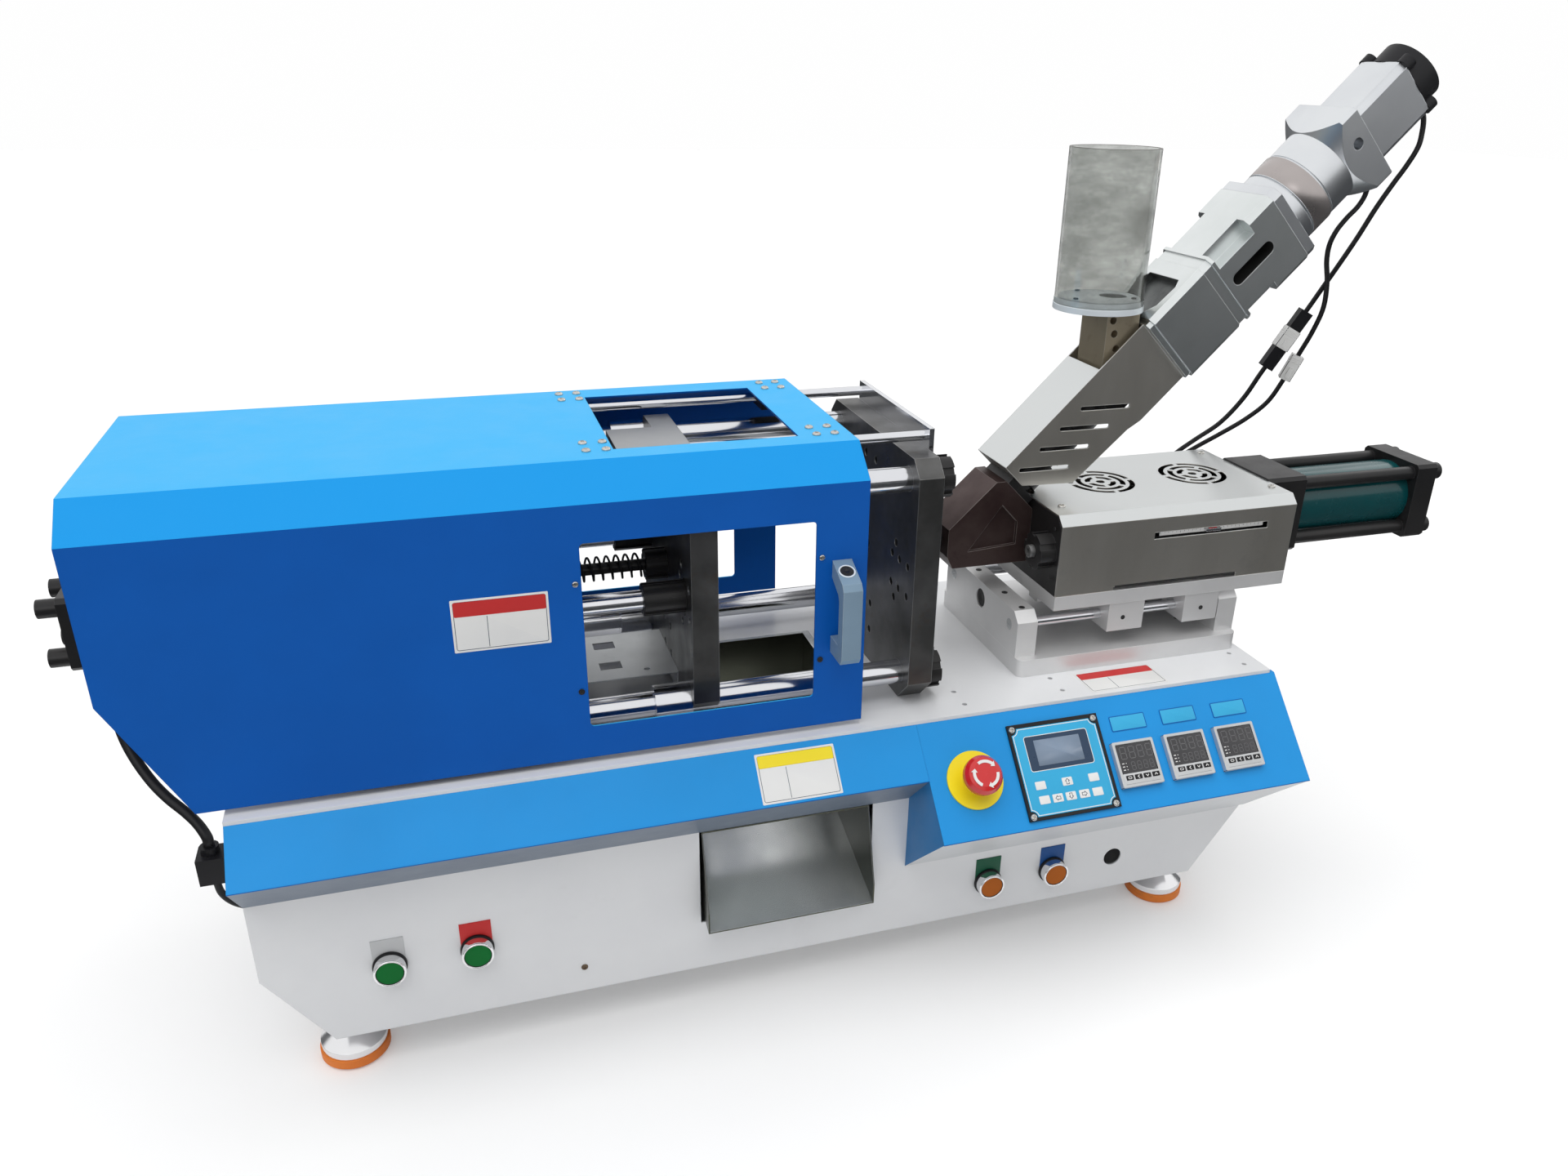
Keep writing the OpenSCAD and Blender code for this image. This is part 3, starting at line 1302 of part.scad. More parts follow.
gland_r = 4.5;
module motor() {
  groove = 9;
  color("silver") inclined() {
    along_x(motor_s, motor_s + motor_l) difference() {
      square(2 * motor_y, center = true);
      for (y = [-1, 1], z = [-1, 1])
        translate([y * (motor_y + 2), z * (motor_y + 2)]) circle(groove);
    }
    rod_z(-motor_y - 0.6, -motor_y + 1, motor_s + 12.4, 14, gland_r);
  }
}
motor_end = motor_s + motor_l + motor_cap_l;
module motor_end_cap() {
  lobe = 8;
  r = motor_y - lobe + 1;
  color("black") inclined() {
    rod_x(motor_s + motor_l, motor_end, 0, 0, motor_y + 1);
    along_x(motor_s + motor_l, motor_s + motor_l + 10.5)
      for (y = [-1, 1], z = [-1, 1]) translate([y * r, z * r]) circle(lobe);
    rod_z(-motor_y - 4.1, -motor_y, motor_s + motor_l + 14.7, 0, gland_r);
  }
}

// ---- cables ----------------------------------------------------------------
// Routes, from the cabinet's lower left front corner
motor_route_a = [
  [1257, 154, 843], [1262, 154, 838], [1266, 153, 829], [1267, 152, 816], [1265, 151, 801],
  [1258, 154, 782], [1249, 159, 762], [1238, 165, 736], [1227, 172, 704], [1217, 180, 675],
  [1209, 191, 646], [1200, 199, 620], [1181, 206, 582], [1162, 213, 544], [1150, 223, 510],
  [1134, 238, 477], [1114, 255, 452], [1100, 267, 434], [1090, 273, 420], [1081, 270, 406],
  [1076, 260, 397], [1076, 250.5, 395]
];
motor_route_b = [
  [1202, 168, 793], [1208, 168, 787], [1217, 169, 776], [1224, 170, 763], [1225, 171, 750],
  [1219, 172, 737], [1208, 173, 725], [1198, 174, 711], [1194, 176, 696], [1196, 178, 678],
  [1203, 179, 654], [1209, 184, 624], [1208, 193, 595], [1203, 203, 566], [1192, 210, 532],
  [1182, 218, 505], [1164, 231, 481], [1140, 247, 458], [1120, 260, 440], [1107, 268, 427],
  [1098, 272, 413], [1093, 268, 402], [1092, 260, 396], [1092, 250.5, 395]
];
hose_route = [
  [-106, 154, 351], [-106, 154, 330], [-104, 152, 300], [-100, 147, 275], [-92, 138, 256],
  [-80, 125, 239], [-66, 110, 228], [-51, 96, 219], [-41, 86, 211], [-34, 78, 200], [-34, 78, 191]
];
loop_route = [
  [-34, 78, 155], [-34, 78, 147], [-32, 77.5, 136], [-25, 76.5, 126], [-15, 75, 120],
  [-6, 74, 118], [0, 74, 118]
];
module motor_cable_a() { color("black") cord(motor_route_a, motor_cable_d); }
module motor_cable_b() { color("black") cord(motor_route_b, motor_cable_d); }
module side_hose() { color("black") cord(hose_route, hose_d); }
module side_loop() { color("black") cord(loop_route, loop_d); }
// One half of an in-line connector, from l0 to l1 along the line from p to q
module plug_half(p, q, l0, l1, w, h, r) {
  between(p, q) difference() {
    block([-w / 2, -h / 2, l0], [w / 2, h / 2, l1]);
    translate([0, 0, l0 - cut]) cylinder(h = l1 - l0 + 2 * cut, r = r);
  }
}
module cable_connectors() {
  bore = motor_cable_d / 2 + 0.4;
  a = [motor_route_a[11], motor_route_a[13]];
  b = [motor_route_b[13], motor_route_b[14]];
  color("black") plug_half(a[0], a[1], 3, 27, 15, 13, bore);
  color("white") plug_half(a[0], a[1], 27, 52, 17, 14, bore);
  color("black") plug_half(a[0], a[1], 52, 79, 15, 13, bore);
  color("white") plug_half(b[0], b[1], 2, 33, 14, 12, bore);
}
module side_connector() {
  at = hose_route[len(hose_route) - 1];
  low = loop_route[0];
  color("black") {
    block([at[0] - 12, at[1] - 13, low[2]], [0, at[1] + 13, at[2] - 8]);
    rod_z(at[2] - 8, at[2], at[0], at[1], hose_d / 2 + 3.5);
  }
}

placed() cabinet();
placed() top_plate();
placed() nose_strip();
placed() console_housing();
placed() leveling_feet();
placed() foot_pads();
placed() discharge_chute();
placed() control_gear();
placed() display_unit();
placed() temperature_controllers();
placed() button_bezels();
placed() estop_collar();
placed() power_button_cap();
placed() heater_button_cap();
placed() start_button_cap();
placed() inject_button_cap();
placed() estop_mushroom();
placed() fixed_platen();
placed() rear_platen();
placed() tie_bars();
placed() tie_bar_nuts();
placed() clamp_cylinder();
placed() moving_platen();
placed() platen_bushes();
placed() clamp_ram();
placed() drip_tray();
placed() ejector_rod();
placed() ejector_spring();
placed() guard_rods();
placed() guard_cover();
placed() guard_handle();
placed() guard_bearings();
placed() slide_base();
placed() rail_end_blocks();
placed() slide_rails();
placed() carriage_plate();
placed() rail_bearings();
placed() injection_cover();
placed() injection_frame();
placed() heated_block();
placed() nozzle();
placed() injection_cylinder_caps();
placed() injection_cylinder_tube();
placed() plunger();
placed() barrel();
placed() barrel_cover();
placed() feed_screw();
placed() feed_block();
placed() hopper();
placed() feed_housing();
placed() adaptor_block();
placed() gearbox();
placed() motor();
placed() motor_end_cap();
placed() motor_cable_a();
placed() motor_cable_b();
placed() cable_connectors();
placed() side_hose();
placed() side_loop();
placed() side_connector();
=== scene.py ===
import json
from math import asin, atan2, cos, degrees, hypot, pi, radians, sin, sqrt, tan

import bmesh
import bpy
from mathutils import Matrix, Vector


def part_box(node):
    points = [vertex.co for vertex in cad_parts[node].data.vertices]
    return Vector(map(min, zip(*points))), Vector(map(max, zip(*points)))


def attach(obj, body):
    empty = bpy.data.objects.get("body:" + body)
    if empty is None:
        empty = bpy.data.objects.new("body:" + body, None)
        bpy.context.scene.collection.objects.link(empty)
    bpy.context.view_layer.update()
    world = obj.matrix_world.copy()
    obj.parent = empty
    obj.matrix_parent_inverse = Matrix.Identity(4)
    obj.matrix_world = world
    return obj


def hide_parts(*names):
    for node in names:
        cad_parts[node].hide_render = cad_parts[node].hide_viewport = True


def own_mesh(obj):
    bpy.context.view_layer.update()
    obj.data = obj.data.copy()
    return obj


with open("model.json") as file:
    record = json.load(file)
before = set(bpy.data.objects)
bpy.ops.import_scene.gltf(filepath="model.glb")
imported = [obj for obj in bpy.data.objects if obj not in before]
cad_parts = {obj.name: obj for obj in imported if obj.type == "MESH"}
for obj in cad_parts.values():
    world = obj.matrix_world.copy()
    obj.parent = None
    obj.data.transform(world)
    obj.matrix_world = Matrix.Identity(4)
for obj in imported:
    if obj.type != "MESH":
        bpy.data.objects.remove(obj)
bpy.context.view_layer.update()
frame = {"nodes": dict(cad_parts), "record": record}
nodes = frame["nodes"]
print("frame loaded:", len(nodes), "nodes")

scene = bpy.context.scene
scene.view_settings.view_transform = "Standard"
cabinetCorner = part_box("cabinet")[0]


def at(x, y, z):
    # millimetres from the cabinet's lower front left corner
    return cabinetCorner + Vector((x, y, z)) / 1000


def polar(radius, angle, cx=0.0, cy=0.0):
    # the point at that angle, in degrees, on a circle round (cx, cy)
    return cx + radius * cos(radians(angle)), cy + radius * sin(radians(angle))


def addObject(name, data):
    piece = bpy.data.objects.new(name, data)
    scene.collection.objects.link(piece)
    return piece


cameraValues = {"place": (214.7, -968.0, 865.74), "yaw": 17.95, "pitch": -24.16, "roll": 1.12, "lens": 27.24,
                "sensor": 36, "shiftX": -0.0159, "shiftY": 0.00875, "reach": 100}


def makeCamera(v):
    yaw, pitch, roll = (radians(v[k]) for k in ("yaw", "pitch", "roll"))
    ahead = Vector((sin(yaw) * cos(pitch), cos(yaw) * cos(pitch), sin(pitch)))
    side = Vector((cos(yaw), -sin(yaw), 0))
    up = side.cross(ahead)
    right = side * cos(roll) + up * sin(roll)
    over = up * cos(roll) - side * sin(roll)
    data = bpy.data.cameras.new("camera")
    data.sensor_width, data.lens, data.clip_end = v["sensor"], v["lens"], v["reach"]
    data.shift_x, data.shift_y = v["shiftX"], v["shiftY"]
    camera = addObject("camera", data)
    turn = Matrix((right, over, -ahead)).transposed().to_4x4()
    camera.matrix_world = Matrix.Translation(at(*v["place"])) @ turn
    scene.camera = camera


makeCamera(cameraValues)


def setSockets(tree, node, values):
    # each socket takes a link where the value is another node's socket, and else the value itself
    for key, value in values.items():
        if isinstance(value, bpy.types.NodeSocket):
            tree.links.new(value, node.inputs[key])
        else:
            node.inputs[key].default_value = value
    return node


def addNode(tree, kind, values=(), **settings):
    node = tree.nodes.new(kind)
    for key, value in settings.items():
        setattr(node, key, value)
    return setSockets(tree, node, dict(values))


def maths(tree, operation, *values):
    return addNode(tree, "ShaderNodeMath", enumerate(values), operation=operation).outputs[0]


def newMaterial(name, values):
    mat = bpy.data.materials.new(name)
    mat.use_nodes = True
    tree = mat.node_tree
    return mat, tree, setSockets(tree, tree.nodes["Principled BSDF"], values)


def seenRays(tree):
    # 1 on rays from the camera, in gloss and through clear plastic
    path = addNode(tree, "ShaderNodeLightPath").outputs
    glossy = maths(tree, "MAXIMUM", path["Is Camera Ray"], path["Is Glossy Ray"])
    return maths(tree, "MAXIMUM", glossy, path["Is Transmission Ray"])


lightValues = {"sky": 0.40, "background": 0.995, "floorColour": (0.74, 0.74, 0.74), "floorLift": 0.205, "floorHalf": 14,
               "floorRough": 0.9, "sun": 2.35, "sunSpread": 70, "sunWay": (0.16, 0.12, -1)}
lampValues = {"frontLamp": {"place": (-1.6, -2.6, 1.9), "target": (0, 0, 0.35), "size": (1.6, 1.2), "power": 5},
              "sideLamp": {"place": (2.7, 0.9, 1.6), "target": (0, 0, 0.5), "size": (1.2, 1.6), "power": 7}}
cardValues = {"floorCard": (0.05, 0.052, 0.055), "wallCard": (0.16, 0.165, 0.17), "hole": (0.96, 0.62), "low": 0.002,
              "reach": 4.5, "high": 1.25, "count": 48}


def makeWorld(v):
    scene.world = bpy.data.worlds.new("studio")
    scene.world.use_nodes = True
    tree = scene.world.node_tree
    tree.nodes.clear()
    sky, paper = (addNode(tree, "ShaderNodeBackground", {"Color": (1, 1, 1, 1), "Strength": v[key]}).outputs[0]
                  for key in ("sky", "background"))
    mix = addNode(tree, "ShaderNodeMixShader", {0: seenRays(tree), 1: sky, 2: paper})
    addNode(tree, "ShaderNodeOutputWorld", {"Surface": mix.outputs[0]})


def makeFloor(v):
    mesh = bpy.data.meshes.new("floor")
    half = v["floorHalf"]
    mesh.from_pydata([(-half, -half, 0), (half, -half, 0), (half, half, 0), (-half, half, 0)], [], [(0, 1, 2, 3)])
    mat, tree, body = newMaterial("floorPaper", {"Base Color": (*v["floorColour"], 1), "Roughness": v["floorRough"],
                                                 "Specular IOR Level": 0.0})
    glow = addNode(tree, "ShaderNodeEmission", {"Strength": maths(tree, "MULTIPLY", seenRays(tree), v["floorLift"])})
    both = addNode(tree, "ShaderNodeAddShader", {0: body.outputs[0], 1: glow.outputs[0]})
    setSockets(tree, tree.nodes["Material Output"], {"Surface": both.outputs[0]})
    mesh.materials.append(mat)
    floor = addObject("floor", mesh)


def makeSun(v):
    # broad overhead light, kept out of the gloss so that paint keeps its colour
    data = bpy.data.lights.new("overheadLight", "SUN")
    data.energy, data.angle = v["sun"], radians(v["sunSpread"])
    lamp = addObject("overheadLight", data)
    lamp.rotation_euler = Vector(v["sunWay"]).to_track_quat("-Z", "Y").to_euler()
    lamp.visible_glossy = False


def makeLamps(values):
    for name, v in values.items():
        data = bpy.data.lights.new(name, "AREA")
        data.shape, data.energy = "RECTANGLE", v["power"]
        data.size, data.size_y = v["size"]
        lamp = addObject(name, data)
        lamp.location = v["place"]
        lamp.rotation_euler = (Vector(v["target"]) - Vector(v["place"])).to_track_quat("-Z", "Y").to_euler()


def makeCards(v):
    # dark cards on the floor and round the studio, seen only in gloss, so that metal and paint show their form
    count, reach, low = v["count"], v["reach"], v["low"]
    mesh = bpy.data.meshes.new("darkCards")
    loops = [(*v["hole"], low), (reach, reach, low), (reach, reach, v["high"])]
    circle = [polar(1, 360 * i / count) for i in range(count)]
    points = [(rx * x, ry * y, z) for rx, ry, z in loops for x, y in circle]
    faces = [(k * count + i, k * count + (i + 1) % count, (k + 1) * count + (i + 1) % count, (k + 1) * count + i)
             for k in range(2) for i in range(count)]
    mesh.from_pydata(points, [], faces)
    for name in ("floorCard", "wallCard"):
        mesh.materials.append(newMaterial(name, {"Base Color": (*v[name], 1), "Roughness": 1.0,
                                                 "Specular IOR Level": 0.0})[0])
    for i, face in enumerate(mesh.polygons):
        face.material_index = i // count
    card = addObject("darkCards", mesh)
    card.visible_camera = card.visible_diffuse = card.visible_shadow = card.visible_transmission = False


makeWorld(lightValues)
makeFloor(lightValues)
makeCards(cardValues)
makeSun(lightValues)
makeLamps(lampValues)
print("camera, floor and light made")

motorRouteA = [(1257, 154, 843), (1262, 154, 838), (1266, 153, 829), (1267, 152, 816), (1265, 151, 801),
               (1258, 154, 782), (1249, 159, 762), (1238, 165, 736), (1227, 172, 704), (1217, 180, 675),
               (1209, 191, 646), (1200, 199, 620), (1181, 206, 582), (1162, 213, 544), (1150, 223, 510),
               (1134, 238, 477), (1114, 255, 452), (1100, 267, 434), (1090, 273, 420), (1081, 270, 406),
               (1076, 260, 397), (1076, 250.5, 395)]
motorRouteB = [(1202, 168, 793), (1208, 168, 787), (1217, 169, 776), (1224, 170, 763), (1225, 171, 750),
               (1219, 172, 737), (1208, 173, 725), (1198, 174, 711), (1194, 176, 696), (1196, 178, 678),
               (1203, 179, 654), (1209, 184, 624), (1208, 193, 595), (1203, 203, 566), (1192, 210, 532),
               (1182, 218, 505), (1164, 231, 481), (1140, 247, 458), (1120, 260, 440), (1107, 268, 427),
               (1098, 272, 413), (1093, 268, 402), (1092, 260, 396), (1092, 250.5, 395)]
hoseRoute = [(-106, 154, 351), (-106, 154, 330), (-104, 152, 300), (-100, 147, 275), (-92, 138, 256),
             (-80, 125, 239), (-66, 110, 228), (-51, 96, 219), (-41, 86, 211), (-34, 78, 200), (-34, 78, 191)]
loopRoute = [(-34, 78, 155), (-34, 78, 147), (-32, 77.5, 136), (-25, 76.5, 126), (-15, 75, 120),
             (-6, 74, 118), (0, 74, 118)]


def shapeOf(curve):
    bpy.context.view_layer.update()
    return bpy.data.meshes.new_from_object(curve.evaluated_get(bpy.context.evaluated_depsgraph_get()))


def makeCord(name, route, diameter, body, node):
    data = bpy.data.curves.new(name, "CURVE")
    data.dimensions, data.use_fill_caps = "3D", True
    data.bevel_depth, data.bevel_resolution, data.resolution_u = diameter / 2000, 5, 8
    line = data.splines.new("BEZIER")
    line.bezier_points.add(len(route) - 1)
    points = [at(*p) for p in route]
    for i, (knot, p) in enumerate(zip(line.bezier_points, points)):
        before, after = points[max(i - 1, 0)], points[min(i + 1, len(points) - 1)]
        way = (after - before).normalized()
        knot.co = p
        knot.handle_left_type = knot.handle_right_type = "FREE"
        knot.handle_left = p - way * (p - before).length / 3
        knot.handle_right = p + way * (after - p).length / 3
    guide = addObject(name + "Guide", data)
    tube = shapeOf(guide)
    data.bevel_depth = 0
    path = [v.co.copy() for v in shapeOf(guide).vertices]
    bpy.data.objects.remove(guide)
    tube.name = name
    tube.shade_smooth()
    piece = addObject(name, tube)
    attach(piece, body)
    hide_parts(node)
    return piece


cords = [makeCord("motorCableA", motorRouteA, 5.6, "carriage", "motor_cable_a"),
         makeCord("motorCableB", motorRouteB, 5.6, "carriage", "motor_cable_b"),
         makeCord("sideHose", hoseRoute, 10, "base", "side_hose"),
         makeCord("sideLoop", loopRoute, 7, "base", "side_loop")]
print("cords made")


def noise(tree, coords, scale, stretch=(1, 1, 1), detail=3, rough=0.55):
    # one stretched noise field in object space, where 1 is a metre
    place = addNode(tree, "ShaderNodeMapping", {"Vector": coords, "Scale": stretch})
    return addNode(tree, "ShaderNodeTexNoise", {"Vector": place.outputs[0], "Scale": scale, "Detail": detail,
                                                "Roughness": rough}).outputs["Fac"]


def ramp(tree, value, low, high, start=0.0, end=1.0):
    return addNode(tree, "ShaderNodeMapRange", {"Value": value, "From Min": low, "From Max": high, "To Min": start,
                                                "To Max": end}).outputs["Result"]


def blendColour(tree, factor, a, b):
    a, b = ((*c, 1) if isinstance(c, tuple) else c for c in (a, b))
    mix = addNode(tree, "ShaderNodeMix", data_type="RGBA")
    sockets = [i for i, socket in enumerate(mix.inputs) if socket.enabled]
    setSockets(tree, mix, dict(zip(sockets, (factor, a, b))))
    return next(socket for socket in mix.outputs if socket.enabled)


def softNormal(tree, radius):
    # the normal that a small rounded edge would have
    return addNode(tree, "ShaderNodeBevel", {"Radius": radius}, samples=6).outputs[0]


# faces that look up, down or left, or stand upright, can take a colour of their own: the normal's axis, start and end
# most of these colours are painted light and shade: lighter tops, darker left sides, upright faces and undersides; the
# console's pale underside is its own colour
facingCoatsAndPaintedLight = {"facing": ("Z", 0.1, 0.6), "crown": ("Z", 0.8, 0.97), "under": ("Z", -0.2, -0.5), "cheeks": ("Z", 0.5, 0.2),
         "shade": ("X", -0.3, -0.7)}
plainFinish = {"toneScale": 9, "toneStretch": (1, 1, 1), "stain": None, "edge": None, "edgeWidth": 0.0008,
               "metallic": 0.0, "specular": 0.5, "coat": 0.0, "coatRough": 0.08, "glossScale": 24,
               "glossStretch": (1, 1, 1), "roughSpread": 0.05, "relief": None, "soft": 0.0006,
               "toneSpan": (0.36, 0.64), "stainEnd": 0.75, "edgeSpan": (0.99, 0.82, 0.0, 0.8), "glossSpan": (0.3, 0.7)}


def filled(values, defaults):
    # the values given, and the defaults of those left out
    return (*values, *defaults[len(values):])


def makeFinish(name, own):
    v = {**plainFinish, **own}
    mat, tree, body = newMaterial(name, {"Metallic": v["metallic"], "Specular IOR Level": v["specular"],
                                         "Coat Weight": v["coat"], "Coat Roughness": v["coatRough"]})
    coords = addNode(tree, "ShaderNodeTexCoord").outputs["Object"]
    normal = softNormal(tree, v["soft"])
    # colour: two tones mixed by a broad field, then stains, the colours by facing, most of them painted light and
    # shade, and worn edges, which on the handle paint are a painted highlight
    broad = noise(tree, coords, v["toneScale"], v["toneStretch"], 4)
    colour = blendColour(tree, ramp(tree, broad, *v["toneSpan"]), v["colour"], v["tone"])
    if v["stain"]:
        tint, amount, scale, low = filled(v["stain"], (None, 0.5, 40, 0.58))
        spots = noise(tree, coords, scale, (1, 1, 1), 6, 0.7)
        colour = blendColour(tree, ramp(tree, spots, low, v["stainEnd"], 0.0, amount), colour, tint)
    for key, (axis, low, high) in facingCoatsAndPaintedLight.items():
        if key in v:
            way = addNode(tree, "ShaderNodeNewGeometry").outputs["True Normal"]
            side = addNode(tree, "ShaderNodeSeparateXYZ", {0: way}).outputs[axis]
            if key == "cheeks":
                side = maths(tree, "ABSOLUTE", side)
            colour = blendColour(tree, ramp(tree, side, low, high), colour, v[key])
    if v["edge"]:
        way = addNode(tree, "ShaderNodeNewGeometry").outputs["Normal"]
        dot = addNode(tree, "ShaderNodeVectorMath", {0: softNormal(tree, v["edgeWidth"]), 1: way},
                      operation="DOT_PRODUCT")
        colour = blendColour(tree, ramp(tree, dot.outputs["Value"], *v["edgeSpan"]), colour, v["edge"])
    # gloss, then surface relief
    streaks = noise(tree, coords, v["glossScale"], v["glossStretch"], 5, 0.6)
    spread = v["roughSpread"]
    rough = ramp(tree, streaks, *v["glossSpan"], v["rough"] - spread, v["rough"] + spread)
    if v["relief"]:
        depth, scale, strength, stretch = filled(v["relief"], (0, 900, 0.5, (1, 1, 1)))
        fine = noise(tree, coords, scale, stretch, 4, 0.6)
        normal = addNode(tree, "ShaderNodeBump", {"Strength": strength, "Distance": depth, "Height": fine,
                                                  "Normal": normal}).outputs[0]
    setSockets(tree, body, {"Base Color": colour, "Normal": normal, "Roughness": rough})
    return mat


# stain: colour, how much of it, scale and where it starts; relief: depth in metres, scale, strength and stretch
paint = {"relief": (0.00006, 650, 0.25), "soft": 0.0012}
azure = {**paint, "colour": (0.012, 0.285, 0.7), "tone": (0.011, 0.27, 0.665), "rough": 0.42, "specular": 0.35,
         "coat": 0.05}
printed = {"rough": 0.38, "specular": 0.3, "relief": (0.00003,), "soft": 0.0001}
gloss = {"rough": 0.26, "coat": 0.5, "relief": (0.00003, 500, 0.3), "soft": 0.0008}
cap = {**gloss, "rough": 0.36, "specular": 0.12, "coat": 0.0}
milled = {"metallic": 1.0, "roughSpread": 0.012, "glossScale": 6, "soft": 0.0008}
platenSteel = {"colour": (0.16, 0.16, 0.16), "tone": (0.09, 0.09, 0.088), "toneScale": 14, "metallic": 0.85,
               "rough": 0.36, "roughSpread": 0.09, "stain": ((0.12, 0.08, 0.045), 0.45), "edge": (0.5, 0.5, 0.5),
               "edgeWidth": 0.0012, "relief": (0.00005, 220, 0.5, (1, 9, 1)), "soft": 0.001}
